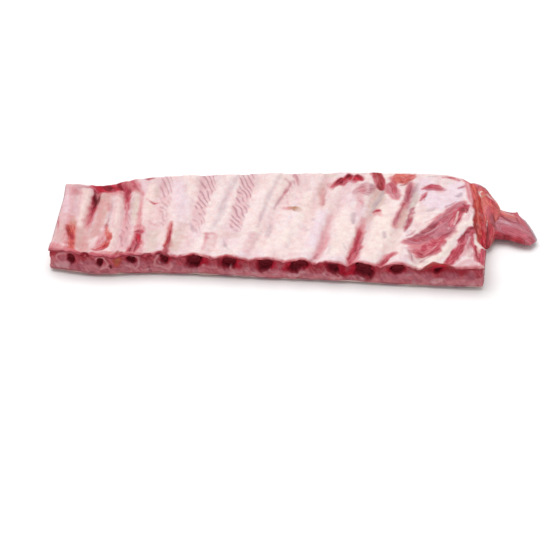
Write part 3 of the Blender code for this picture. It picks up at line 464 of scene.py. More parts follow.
    ("dusk", [(10.40, 0.25), (10.50, 0.245), (10.56, 0.27)], (1.0, 1.6, 0.9), 3, (0.3, 0.45, 0.2), -0.4),
    ("rose", [(10.70, 0.40), (10.96, 0.50), (11.12, 0.60)], (1.6, 2.8, 1.6), 3.4, (0.3, 0.4, 0.4), 0.2),
    ("flesh", [(10.84, 0.50), (11.00, 0.56), (11.12, 0.62)], (1.0, 1.6, 1.0), 2.4, 0.5, -0.2),
    ("blood", [(10.64, 0.26), (10.78, 0.22), (10.94, 0.24)], (1.8, 3.8, 2.2), 4, (0.35, 0.5, 0.35), 0.1),
    ("dusk", [(10.40, 0.12), (10.60, 0.09), (10.80, 0.13)], (1.2, 1.6, 1.2), 3, (0.4, 0.5, 0.3), -0.3),
    ("blush", [(10.76, 0.46), (10.90, 0.41), (10.98, 0.35)], (1.0, 1.6, 1.0), 2.6, (0.5, 0.6, 0.4), 0.4),
    ("pinkish", [(10.02, 0.36), (10.16, 0.31), (10.30, 0.32)], (1.2, 1.0, 0.6), 2, (0.6, 0.6, 0.3), 0.2),
    ("pinkish", [(10.02, 0.17), (10.18, 0.155), (10.34, 0.17)], (1.8, 1.0, 0.5), 2, (0.7, 0.6, 0.3), 0.2),
    ("pinkish", [(10.44, 0.31), (10.62, 0.345), (10.84, 0.43)], (0.5, 0.8, 0.5), 1.6, (0.4, 0.6, 0.4), 0.2),
    ("blush", [(10.36, 0.445), (10.60, 0.49), (10.86, 0.56)], (0.6, 1.2, 0.8), 2, (0.5, 0.6, 0.5), 0.2),
    ("pinkish", [(10.80, 0.50), (10.98, 0.545), (11.12, 0.60)], (0.5, 0.9, 0.6), 1.6, (0.4, 0.6, 0.4), 0.2),
    ("pinkish", [(10.58, 0.10), (10.78, 0.16), (10.92, 0.24)], (0.6, 0.8, 0.6), 1.8, (0.3, 0.5, 0.3), 0.2),
    ("mauve", [(10.84, 0.62), (11.00, 0.655), (11.14, 0.70)], (0.8, 1.2, 0.8), 2, (0.5, 0.7, 0.5), 0.0),
    ("mauve", [(9.98, 0.30), (10.08, 0.32), (10.14, 0.36)], (1.2, 1.6, 0.8), 2, (0.6, 0.6, 0.4), 0.0),
    ("mauve", [(10.52, 0.06), (10.70, 0.075), (10.84, 0.13)], (1.0, 1.6, 1.0), 2, (0.5, 0.6, 0.4), 0.0),
    ("blush", [(10.60, 0.20), (10.70, 0.14)], (1.2, 1.2), 2.4, 0.5, 0.3),
    ("pinkish", [(10.16, 0.08), (10.36, 0.05)], (2.4, 2.4), 3, 0.6, 0.2),
    ("dusk", [(10.14, 0.14), (10.24, 0.09), (10.30, 0.05)], (1.2, 1.4, 0.8), 2.4, (0.4, 0.5, 0.3), -0.2),
    ("dusk", [(10.98, 0.30), (11.10, 0.33), (11.18, 0.36)], (1.8, 1.8, 1.0), 2.4, (0.6, 0.75, 0.4), -0.5),
    ("pinkish", [(11.08, 0.38), (11.16, 0.52), (11.20, 0.62)], (1.2, 1.3, 1.0), 1.8, (0.6, 0.7, 0.5), 0.3),
    ("rose", [(11.14, 0.42), (11.26, 0.55), (11.42, 0.64), (11.52, 0.72)], (3.0, 4.6, 5.0, 2.6), 2.6, (0.6, 0.85, 0.95, 0.85), -0.2),
    ("dusk", [(11.34, 0.60), (11.46, 0.66), (11.54, 0.62)], (1.6, 2.8, 1.4), 2.4, (0.5, 0.9, 0.6), -0.4),
    ("dusk", [(11.40, 0.71), (11.48, 0.70)], (1.0, 1.4), 2, 0.7, -0.2),
    ("cream", [(11.22, 0.44), (11.27, 0.60)], (0.9, 0.9), 1.6, (0.5, 0.7), 0.4),
    ("pinkish", [(11.52, 0.54), (11.62, 0.62), (11.68, 0.74)], (1.8, 2.4, 1.8), 2.4, (0.7, 0.85, 0.7), 0.5),
    # muscle strips that run down the right end
    ("blush", [(11.24, 0.02), (11.46, 0.14), (11.66, 0.28), (11.76, 0.44)], (4.0, 5.6, 7.0, 5.6), 4, 0.75, 0.1),
    ("rose", [(11.22, 0.03), (11.42, 0.14), (11.58, 0.28), (11.72, 0.44)], (3.4, 5.2, 6.4, 5.0), 2.6, (0.9, 0.95, 0.95, 0.9), 0.0),
    ("flesh", [(11.24, 0.04), (11.38, 0.12), (11.50, 0.22)], (1.0, 2.0, 1.2), 2.4, (0.6, 0.7, 0.4), 0.0),
    ("dusk", [(11.46, 0.26), (11.58, 0.38), (11.76, 0.46)], (1.4, 2.8, 2.4), 2.8, (0.5, 0.75, 0.85), -0.4),
    ("mauve", [(11.64, 0.36), (11.72, 0.24), (11.78, 0.12)], (2.6, 3.0, 2.0), 3, (0.7, 0.7, 0.4), 0.0),
    ("pinkish", [(11.58, 0.12), (11.66, 0.24), (11.72, 0.34)], (1.2, 1.4, 1.0), 2, 0.75, 0.4),
    ("pinkish", [(11.50, 0.02), (11.72, 0.06), (11.90, 0.03)], (2.6, 3.4, 3.4), 3, 0.85, 0.4),
    ("rose", [(11.80, 0.34), (11.90, 0.20), (12.02, 0.08)], (2.4, 3.2, 3.4), 2.4, (0.85, 0.9, 0.85), 0.0),
    ("flesh", [(11.90, 0.24), (11.98, 0.12), (12.06, 0.06)], (1.0, 1.6, 1.4), 2, 0.7, -0.2),
    ("cream", [(11.86, 0.40), (11.96, 0.29), (12.02, 0.18)], (2.0, 3.2, 1.6), 2.2, (0.8, 1, 0.7), 0.8),
    ("rose", [(12.12, 0.22), (12.14, 0.05)], (3.0, 3.0), 2.4, 0.9, 0.0),
    # the root of the skirt, orange-red and fibrous
    ("blush", [(11.40, 1.0), (11.62, 0.84), (11.72, 0.70)], (5, 4, 2), 4, (0.9, 0.9, 0.6), 0.1),
    ("marrow", [(11.62, 1.0), (11.86, 0.82), (11.98, 0.60), (12.08, 0.40)], (3.2, 6.0, 6.6, 6.0), 2.6, 1.0, 0.4),
    ("salmon", [(11.62, 0.98), (11.78, 0.84), (11.84, 0.70), (11.92, 0.56)], (1.4, 1.8, 1.5, 1.2), 2.4, (0.8, 0.9, 0.8, 0.5), 0.3),
    # painted shadow: dark brown-red in the crease between the rack and the skirt's root
    ("rust", [(11.72, 0.82), (11.78, 0.66), (11.84, 0.50), (11.98, 0.40)], (1.6, 1.9, 2.2, 1.6), 2.4, (0.6, 0.95, 1, 0.8), -0.7),
    ("blood", [(12.02, 0.86), (12.08, 0.60), (12.14, 0.36)], (2.6, 3.0, 4.2), 2.4, (0.5, 0.6, 1), 0.0),
    ("salmon", [(12.06, 0.94), (12.12, 0.72)], (1.6, 1.4), 2, 0.7, 0.2),
]

# where the sawn edge shows over the front: red flesh in the dips, a pink flush along the rest
frontEdge = [
    ("blush", [(-0.66, 0.0), (2.0, 0.005), (4.0, 0.0), (8.0, 0.0), (12.2, 0.0)], (3.4, 3.0, 2.2, 2.2, 2.8), 3.6, (0.9, 0.85, 0.7, 0.75, 0.8), 0.0),
    ("rose", [(-0.66, -0.002), (1.0, -0.002), (2.2, -0.002), (4.0, -0.003)], (1.8, 2.0, 1.6, 1.0), 2, (0.6, 0.8, 0.8, 0.6), 0.0),
    ("blood", [(3.6, -0.004), (6.0, -0.004), (9.0, -0.004), (12.0, -0.004)], (1.6, 1.7, 1.6, 1.4), 1.8, (0.6, 0.7, 0.7, 0.5), 0.0),
    ("crimson", [(0.36, 0.0), (0.46, 0.025), (0.56, 0.0)], (1.4, 2.2, 1.4), 1.6, 0.95, -0.3),
    ("rose", [(0.60, 0.03), (0.80, 0.02), (1.00, 0.0)], (0.8, 1.0, 1.2), 1.6, 0.7, -0.1),
    ("flesh", [(1.34, 0.0), (1.50, 0.03), (1.72, 0.0)], (1.4, 1.8, 1.4), 1.8, 0.7, 0.0),
    ("crimson", [(2.36, 0.0), (2.50, 0.015), (2.66, 0.0)], (1.2, 1.6, 1.2), 1.6, 0.9, -0.2),
    ("crimson", [(2.84, 0.0), (3.06, 0.012), (3.26, 0.0)], (1.0, 1.6, 1.0), 1.6, 0.8, -0.2),
    ("rose", [(3.44, 0.0), (3.60, 0.012)], (1.4, 1.0), 1.8, 0.6, 0.0),
    ("rose", [(4.46, 0.012), (4.60, 0.0)], (1.0, 1.4), 1.8, 0.5, 0.0),
    ("rose", [(6.44, 0.012), (6.60, 0.0)], (1.0, 1.4), 1.8, 0.5, 0.0),
    ("rose", [(7.44, 0.0), (7.66, 0.0)], (1.4, 1.4), 1.8, 0.6, 0.0),
    ("rust", [(10.66, 0.0), (10.88, 0.014), (11.16, 0.004), (11.40, 0.0)], (1.6, 3.2, 2.4, 1.2), 2, 0.9, -0.1),
    ("blood", [(10.9, 0.0), (11.2, 0.0)], (1.4, 1.4), 1.6, 0.8, 0.0),
]

# bands where muscle fibres show through the membrane in slanting lines
fibreBands = [
    ("pinkish", [(2.60, 0.96), (2.66, 0.70), (2.74, 0.40)], (6.5, 6.0, 4.5), 4, (0.7, 0.6, 0.4), 0.0),
    ("pinkish", [(3.70, 0.97), (3.72, 0.70), (3.74, 0.46), (3.84, 0.30)], (7.4, 7.4, 6.5, 2.5), 3.4, (0.8, 1, 0.9, 0.35), 0.0),
    ("pinkish", [(4.60, 0.96), (4.68, 0.68), (4.77, 0.42), (4.90, 0.33)], (8.0, 8.0, 7.0, 2.5), 3.4, (0.8, 1, 1, 0.4), 0.0),
    ("pinkish", [(5.80, 0.96), (5.74, 0.84), (5.68, 0.74)], (4.6, 3.0, 2.0), 2.8, (0.5, 0.5, 0.3), 0.0),
    ("pinkish", [(1.50, 0.72), (1.56, 0.45), (1.60, 0.20)], (3.0, 4.0, 3.6), 3.4, (0.7, 0.8, 0.7), 0.0),
]
fibreSpacing = 0.0048


def linear(hexColour):
    # sRGB hex to linear red, green, blue and alpha
    parts = [int(hexColour[k : k + 2], 16) / 255 for k in (1, 3, 5)]
    return [p / 12.92 if p <= 0.04045 else ((p + 0.055) / 1.055) ** 2.4 for p in parts] + [1.0]


def along(values, place):
    # a value that changes evenly along a stroke, from one number or several
    values = np.atleast_1d(np.array(values, float))
    return np.interp(place, np.linspace(0, 1, len(values)), values)


def blank(count, name):
    # the looks of a bare surface: its colour, how much of it is wet muscle, where fibres show and how they run
    colour = np.tile(linear(palette[name][0])[:3], (count, 1))
    return {
        "tint": colour,
        "bare": np.full(count, palette[name][1]),
        "lines": np.zeros(count),
        "phase": np.zeros(count),
        "grain": np.zeros((count, 3)),
    }


def lay(looks, name, strength):
    # lays a colour over the looks with that strength, from 0 to 1
    hexColour, bareness = palette[name]
    looks["tint"] += strength[:, None] * (np.array(linear(hexColour)[:3]) - looks["tint"])
    looks["bare"] += strength * (bareness - looks["bare"])


def draw(strokes, x, y, looks, height, fibres=False, toWorld=plan):
    # lays each stroke over the looks and raises or sinks the height; edges wander by noise as wide as the stroke,
    # and the stroke's strength breaks up in streaks along it
    fine, medium, wide = noise(x, y, 0.0026, 11), noise(x, y, 0.006, 12), noise(x, y, 0.014, 13)
    for number, (name, points, halfWidths, softness, strengths, raised) in enumerate(strokes):
        path = np.stack(toWorld(*curve(points).T), 1)
        widest = 0.001 * (np.max(halfWidths) * 1.6 + softness * 1.5 + 3)
        near = np.flatnonzero(
            (x > path[:, 0].min() - widest) & (x < path[:, 0].max() + widest)
            & (y > path[:, 1].min() - widest) & (y < path[:, 1].max() + widest)
        )
        if not len(near):
            continue
        px, py = x[near], y[near]
        distance, place, side = toPath(px, py, path)
        length = np.linalg.norm(np.diff(path, axis=0), axis=1).sum()
        halfWidth = 0.001 * along(halfWidths, place)
        soft = 0.0005 * softness
        wander = 0.0004 * fine[near] + np.minimum(0.38 * halfWidth, 0.0017) * medium[near]
        wander = wander + np.minimum(0.16 * halfWidth, 0.0022) * wide[near]
        streaks = noise(side * distance + 0.013 * number, place * length / 5, 0.0013, 15)
        strength = along(strengths, place) * (1 - smooth(-soft, soft, distance + wander - halfWidth))
        strength = np.clip(strength * (1 + 0.26 * streaks + 0.14 * fine[near]), 0, 1)
        sunk = 1 - smooth(-1.0, 1.0, (distance - halfWidth) / (soft + 0.35 * halfWidth))
        height[near] += 0.001 * raised * sunk * np.minimum(1, 6 * np.minimum(place, 1 - place) + 0.25)
        part = {key: value[near] for key, value in looks.items()}
        if fibres:
            bend = np.clip(side * distance / halfWidth, -1.6, 1.6)
            part["lines"] = np.maximum(part["lines"], strength * smooth(-0.75, -0.05, noise(px, py, 0.0075, 16)))
            phase = (0.89 * px + 0.456 * py) / fibreSpacing + 0.45 * wide[near] + 0.08 * medium[near] + 0.25 * bend**2 + 0.37 * number
            part["phase"] = np.where(distance < 1.5 * halfWidth + 0.002, phase, part["phase"])
            lay(part, name, 0.75 * strength)
        else:
            lay(part, name, strength)
            if palette[name][1] > 0.3:
                run = np.stack([side * distance, place * length, 0 * distance + number * 0.11], 1)
                part["grain"] = np.where((distance < halfWidth + soft)[:, None], run, part["grain"])
        for key in looks:
            looks[key][near] = part[key]


def marble(looks, amount):
    # bare muscle is marbled along its fibres: pale sinew, darker and redder bundles, and a few dark slits
    u, v = looks["grain"][:, 0] + looks["grain"][:, 2], looks["grain"][:, 1] / 5
    amount = amount * smooth(0.0, 0.05, looks["tint"][:, 1])  # but not where blood has set
    lay(looks, "blush", 0.55 * amount * smooth(0.30, 0.85, noise(u, v, 0.0021, 61)))
    lay(looks, "flesh", 0.45 * amount * smooth(0.25, 0.85, noise(u, v, 0.0027, 62)))
    lay(looks, "dusk", 0.50 * amount * smooth(0.40, 0.90, noise(u, v, 0.0019, 63)))


def innerSide(rib, across):
    # height of the inner side and how it looks: a slab over the underside, with the swell of skirt and fat on the
    # right and arches over the ribs at the sawn edges, then every stroke on top of that
    x, y = plan(rib, across)
    inland = smooth(0.0, 0.22, across) * (1 - 0.7 * smooth(0.75, 1.0, across))
    swell = 0.0050 * smooth(8.2, 10.8, rib - 1.2 * (across - 0.5)) * inland
    fromRib = abs(rib - np.round(np.clip(rib, 0, rack["ribCount"] - 1)))
    edge = 1 - smooth(0.0, 0.13, np.minimum(across, 1.12 - across))
    deep = 0.0024 + 0.0014 * smooth(2.6, 4.2, rib) + 0.0016 * smooth(6.0, 8.0, rib) - 0.0030 * smooth(11.0, 11.8, rib)
    arch = -deep * edge * np.minimum(2 * fromRib, 1) ** 1.7
    height = bed(rib, across) + rack["depth"] - 0.0006 + swell + arch
    height = height + 0.0006 * roughly(x, y, 0.030, 21) + 0.0003 * noise(x * 2.5, y, 0.010, 24)
    height = height + 0.00016 * noise(x, y, 0.0032, 25)
    looks = blank(x.size, "membrane")
    leaning = lean(np.clip(rib, 0, 11))
    looks["grain"][:, 0] = x - leaning * y
    looks["grain"][:, 1] = y
    lay(looks, "pinkish", 0.40 * smooth(-0.2, 0.9, roughly(x * 1.8, y * 0.7, 0.026, 31)))
    lay(looks, "cream", 0.5 * smooth(0.0, 0.9, roughly(x * 1.6, y * 0.7, 0.030, 34)))
    lay(looks, "lilac", 0.5 * smooth(0.0, 0.9, roughly(x * 1.6, y * 0.7, 0.026, 37)))
    lay(looks, "grey", 0.14 * smooth(0.2, 0.9, roughly(x * 2.6, y * 0.8, 0.014, 40)))
    draw(shadedHollows, x, y, looks, height)
    draw(fibreBands, x, y, looks, height, fibres=True)
    for strokes in (leftEnd, middle, rightEnd, frontEdge):
        draw(strokes, x, y, looks, height)
    lay(looks, "blush", 0.16 * (1 - smooth(1.6, 3.6, rib)) * (1 - looks["bare"]))  # the left end is thinner and pinker
    looks["lines"] *= 1 - looks["bare"]
    marble(looks, looks["bare"])
    height = height + 0.00025 * looks["lines"] * np.sin(2 * np.pi * looks["phase"])
    furrow = noise(looks["grain"][:, 0] * 1.0 + looks["grain"][:, 2], looks["grain"][:, 1] / 6, 0.0018, 26)
    height = height + 0.00028 * looks["bare"] * furrow
    return np.minimum(height, 0.0290 + 0.35 * (height - 0.0290)), looks


def gridFaces(rows, columns, wrap=False, start=0):
    # the quads of a grid of rows by columns, or of a tube if each row closes on itself
    i, j = np.arange(rows - 1)[:, None], np.arange(columns if wrap else columns - 1)[None]
    a, b = start + i * columns + j, start + i * columns + (j + 1) % columns
    return np.stack([a, b, b + columns, a + columns], -1).reshape(-1, 4)


def signedVolume(points, faces):
    # the sum of the little pyramids from the origin to each face
    a, b, c = points[faces[:, 0]], points[faces[:, 1]], points[faces[:, 2]]
    d = points[faces[:, -1]]
    return (np.einsum("ij,ij->i", a, np.cross(b, c)) + np.einsum("ij,ij->i", a, np.cross(c, d))).sum() / 6


def makePiece(name, points, quads, fans, material, replaced, looks):
    # puts the arrays into a mesh whose faces point outwards, with its looks as attributes
    if signedVolume(points, quads) < 0:
        quads = quads[:, ::-1]
        fans = fans[:, ::-1]
    mesh = bpy.data.meshes.new(name)
    mesh.from_pydata(points.tolist(), [], quads.tolist() + fans.tolist())
    for key, value in looks.items():
        if key == "tint":
            layer = mesh.color_attributes.new(key, "FLOAT_COLOR", "POINT")
            value = np.concatenate([value, np.ones((len(value), 1))], 1)
            layer.data.foreach_set("color", value.ravel().astype(np.float32))
        elif value.ndim == 2:
            mesh.attributes.new(key, "FLOAT_VECTOR", "POINT").data.foreach_set("vector", value.ravel().astype(np.float32))
        else:
            mesh.attributes.new(key, "FLOAT", "POINT").data.foreach_set("value", value.astype(np.float32))
    mesh.shade_smooth()
    mesh.materials.append(material)
    piece = bpy.data.objects.new(name, mesh)
    bpy.context.scene.collection.objects.link(piece)
    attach(piece, "root")
    if replaced:
        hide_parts(*replaced)
    print(name, len(points), "points")
    return piece


def closedTube(rings):
    # a tube through the rings (count, around, 3), with a pole in the middle of each end
    count, around = rings.shape[:2]
    points = np.concatenate([rings.reshape(-1, 3), [rings[0].mean(0)], [rings[-1].mean(0)]])
    j = np.arange(around)
    last = (count - 1) * around
    startFan = np.stack([j, np.full(around, count * around), (j + 1) % around], 1)
    endFan = np.stack([last + (j + 1) % around, np.full(around, count * around + 1), last + j], 1)
    return points, gridFaces(count, around, True), np.concatenate([startFan, endFan])


def newMaterial(name):
    material = bpy.data.materials.new(name)
    material.use_nodes = True
    return material


def add(tree, kind, settings=None, **inputs):
    # adds a node: its settings, then its inputs, each a value or another node's output
    node = tree.nodes.new("ShaderNode" + kind)
    for key, value in (settings or {}).items():
        setattr(node, key, value)
    for key, value in inputs.items():
        name = key.replace("_", " ")
        matches = [s for s in node.inputs if s.name == name and s.enabled]
        socket = node.inputs[int(key[2:])] if key.startswith("in") and key[2:].isdigit() else matches[0]
        if isinstance(value, bpy.types.NodeSocket):
            tree.links.new(value, socket)
        else:
            socket.default_value = value
    return node


def porkMaterial(name, wet, gloss=0.2):
    # raw pork: wet membrane, muscle and fat, soft and slightly see-through. The piece's own tint gives its colour,
    # specks 2 to 7 mm wide mottle it, streaks run along the fibres of bare muscle, and thin lines show where
    # fibres lie under the membrane
    material = newMaterial(name)
    tree = material.node_tree
    shader = tree.nodes["Principled BSDF"]
    place = add(tree, "TexCoord").outputs["Object"]
    tint = add(tree, "Attribute", {"attribute_name": "tint"}).outputs["Color"]
    bare = add(tree, "Attribute", {"attribute_name": "bare"}).outputs["Fac"]
    lines = add(tree, "Attribute", {"attribute_name": "lines"}).outputs["Fac"]
    phase = add(tree, "Attribute", {"attribute_name": "phase"}).outputs["Fac"]
    grain = add(tree, "Attribute", {"attribute_name": "grain"}).outputs["Vector"]
    mottle = add(tree, "TexNoise", Vector=place, Scale=160.0, Detail=4.0, Roughness=0.6).outputs["Fac"]
    mottleRange = add(tree, "MapRange", Value=mottle, From_Min=0.32, From_Max=0.68).outputs[0]
    run = add(tree, "VectorMath", {"operation": "MULTIPLY"}, in0=grain, in1=(700.0, 90.0, 700.0)).outputs[0]
    streak = add(tree, "TexNoise", Vector=run, Scale=1.0, Detail=3.0, Roughness=0.6).outputs["Fac"]
    streakRange = add(tree, "MapRange", Value=streak, From_Min=0.34, From_Max=0.66).outputs[0]
    # mottling: a little lighter, or darker and pinker
    pinker = add(tree, "Mix", {"data_type": "RGBA", "blend_type": "MULTIPLY"}, Factor=1.0, A=tint, B=linear("#f7ebec")).outputs[2]
    lighter = add(tree, "VectorMath", {"operation": "SCALE"}, in0=tint, Scale=1.025).outputs[0]
    base = add(tree, "Mix", {"data_type": "RGBA"}, Factor=mottleRange, A=pinker, B=lighter).outputs[2]
    # fibres of bare muscle: dark ones and pale ones
    darkFibre = add(tree, "Mix", {"data_type": "RGBA", "blend_type": "MULTIPLY"}, Factor=1.0, A=base, B=linear("#c08a90")).outputs[2]
    paleFibre = add(tree, "VectorMath", {"operation": "SCALE"}, in0=base, Scale=1.35).outputs[0]
    sinew = add(tree, "Mix", {"data_type": "RGBA"}, Factor=0.05, A=paleFibre, B=linear("#c8606a")).outputs[2]
    fibre = add(tree, "Mix", {"data_type": "RGBA"}, Factor=streakRange, A=darkFibre, B=sinew).outputs[2]
    fibred = add(tree, "Math", {"operation": "MULTIPLY_ADD"}, in0=bare, in1=0.9, in2=0.06).outputs[0]
    base = add(tree, "Mix", {"data_type": "RGBA"}, Factor=fibred, A=base, B=fibre).outputs[2]
    # slanting lines under the membrane
    turned = add(tree, "Math", {"operation": "MULTIPLY"}, in0=phase, in1=2 * math.pi).outputs[0]
    wave = add(tree, "Math", {"operation": "SINE"}, in0=turned).outputs[0]
    thin = add(tree, "MapRange", Value=wave, From_Min=-0.05, From_Max=0.95).outputs[0]
    broken = add(tree, "Math", {"operation": "MULTIPLY"}, in0=thin, in1=lines).outputs[0]
    drawn = add(tree, "Math", {"operation": "MULTIPLY", "use_clamp": True}, in0=broken, in1=0.72).outputs[0]
    base = add(tree, "Mix", {"data_type": "RGBA"}, Factor=drawn, A=base, B=linear("#a37480")).outputs[2]
    tree.links.new(base, shader.inputs["Base Color"])
    shader.inputs["Subsurface Weight"].default_value = 0.15
    shader.inputs["Subsurface Radius"].default_value = (1.0, 0.35, 0.25)
    shader.inputs["Subsurface Scale"].default_value = 0.002
    shader.inputs["IOR"].default_value = 1.4
    shader.inputs["Specular IOR Level"].default_value = gloss
    shader.inputs["Specular Tint"].default_value = linear("#e89a9a")  # light comes back red out of wet muscle
    shader.inputs["Coat Weight"].default_value = wet
    shader.inputs["Coat Roughness"].default_value = 0.2
    rough = add(tree, "MapRange", Value=mottle, From_Min=0.3, From_Max=0.7, To_Min=0.42, To_Max=0.62).outputs[0]
    tree.links.new(rough, shader.inputs["Roughness"])
    fine = add(tree, "Math", {"operation": "ADD"}, in0=mottle, in1=streak).outputs[0]
    relief = add(tree, "Bump", Strength=0.33, Distance=0.0007, Height=fine).outputs[0]
    tree.links.new(relief, shader.inputs["Normal"])
    return material


# Raw meat and the wet pleura over it
meatMaterial = porkMaterial("raw pork under pleura", 0.03)

slab = {
    "columns": 446,
    "rows": 146,
    "levels": 24,
    "lip": 0.0007,  # how far the membrane's edge rolls out
    "retreat": 0.0013,  # how far the muscle shrinks back under it
    "bonePit": 0.0046,
    # the pit at each rib's sawn end, painted dark as blood and painted shade: its width, height, step to the right
    # and depth of its top under the edge in mm, how far it narrows to one side below (left -1, right 1), and the
    # bright blood on its left and right
    "pits": (
        (8.5, 12.0, -0.5, 3.2, 0.3, 0.1, 0.3),
        (6.5, 8.0, -1.8, 3.8, 0.4, 0.1, 0.2),
        (9.0, 9.0, -0.5, 1.5, -0.5, 0.3, 0.2),
        (10.0, 12.0, 3.0, 0.7, 0.6, 0.0, 0.5),
        (17.0, 15.0, 1.0, 0.0, 0.5, 0.1, 1.0),
        (17.5, 16.0, 0.0, 0.0, 0.6, 0.1, 1.0),
        (17.0, 15.0, 0.0, 0.2, 0.3, 0.2, 1.0),
        (18.5, 13.0, -2.2, 0.1, 0.1, 0.8, 0.6),
        (16.0, 14.5, 2.6, 0.0, -0.4, 0.3, 1.0),
        (21.0, 16.0, 0.0, 0.0, -0.6, 1.0, 0.4),
        (15.0, 12.5, 0.0, 0.0, 0.4, 0.6, 0.5),
        (9.0, 7.0, 1.0, 0.6, 0.2, 0.9, 0.9),
    ),
    # rings of pale membrane beside some of them: rib, step right and down from the lip, half width, half height
    # in mm, and the way its open side faces in degrees
    "loops": (
        (0, -9.0, 9.5, 6.5, 5.4, 0),
        (1, -1.6, 8.6, 6.2, 6.4, 200),
        (2, 0.6, 7.6, 7.0, 7.0, 150),
        (3, 1.6, 9.0, 8.0, 7.2, 60),
        (5, 6.0, 13.0, 6.0, 2.6, 90),
        (8, 1.0, 14.0, 8.0, 3.0, 90),
    ),
}


def boneEnds():
    # the middle of each rib's two ends, from its solid
    ends = []
    for name in ribNames:
        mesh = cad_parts[name].data
        flat = np.empty(len(mesh.vertices) * 3, np.float32)
        mesh.vertices.foreach_get("co", flat)
        points = flat.reshape(-1, 3).astype(float)
        for limit in (points[:, 1].min(), points[:, 1].max()):
            ends.append(points[abs(points[:, 1] - limit) < 0.0005].mean(0))
    return ends


ribNames = [f"rib_{k + 1:02d}" for k in range(rack["ribCount"])]
ends = boneEnds()


def layer(columns, rows, levels, sheet, wall, cap, capRings=(0.85, 0.6, 0.35, 0.15)):
    # a closed layer of the rack: a fine sheet, a wall down from its rim and a coarse cap of shrinking rings
    u, v = np.linspace(0, 1, columns), np.linspace(0, 1, rows)
    v = 0.75 * v + 0.25 * (0.5 - 0.5 * np.cos(np.pi * v))  # closer rows at both edges
    rib, across = np.meshgrid(rack["leftEnd"] + (rack["rightEnd"] - rack["leftEnd"]) * u, v, indexing="ij")
    index = np.arange(columns * rows).reshape(columns, rows)
    rim = np.concatenate([index[:-1, 0], index[-1, :-1], index[:0:-1, -1], index[0, :0:-1]])
    rimRib, rimAcross = rib.ravel()[rim], across.ravel()[rim]
    top, topLooks = sheet(rib.ravel(), across.ravel())
    sets, looksSets, faces = [top], [topLooks], [gridFaces(columns, rows)[:, ::-1]]
    rimLooks = {key: value[rim] for key, value in topLooks.items()}
    previous, total = rim, columns * rows
    middle = (rack["leftEnd"] + rack["rightEnd"]) / 2
    rounds = [wall(rimRib, rimAcross, top[rim], level, rimLooks) for level in levels]
    rounds += [cap(middle + (rimRib - middle) * share, 0.5 + (rimAcross - 0.5) * share) for share in capRings]
    for points, looks in rounds:
        sets.append(points)
        looksSets.append(looks)
        current = total + np.arange(len(rim))
        faces.append(np.stack([previous, np.roll(previous, -1), np.roll(current, -1), current], 1))
        previous = current
        total += len(rim)
    points, looks = cap(np.array([middle]), np.array([0.5]))
    sets.append(points)
    looksSets.append(looks)
    fans = np.stack([previous, np.roll(previous, -1), np.full(len(rim), total)], 1)
    every = {key: np.concatenate([each[key] for each in looksSets]) for key in topLooks}
    return np.concatenate(sets), np.concatenate(faces), fans, every


def outwards(points):
    # unit vectors square to a closed rim, pointing away from its middle
    step = np.roll(points, -3, 0) - np.roll(points, 3, 0)
    square = np.stack([step[:, 1], -step[:, 0]], 1)
    square /= np.linalg.norm(square, axis=1)[:, None] + 1e-9
    return square


def meatSheet(rib, across):
    height, looks = innerSide(rib, across)
    x, y = plan(rib, across)
    inset = np.minimum(across, 1 - across) * rackWidth(rib)
    fromEnd = np.minimum(rib - rack["leftEnd"], rack["rightEnd"] - rib) * rack["ribPitch"]
    height = height - 0.0014 * (1 - smooth(0.0, 0.0024, np.minimum(inset, fromEnd)))
    height = height - 0.0075 * smooth(11.72, 12.1, rib) * smooth(0.22, 0.36, across)
    ragged = (0.0007 * noise(x, 0 * x, 0.0075, 43) + 0.0005 * noise(x, 0 * x, 0.0031, 44)) * (1 - smooth(0.0, 0.007, inset))
    y = y + ragged * np.where(across < 0.5, 1, -1)
    height = height + 0.6 * ragged * (across < 0.5)
    return np.stack([x, y, height], 1), looks


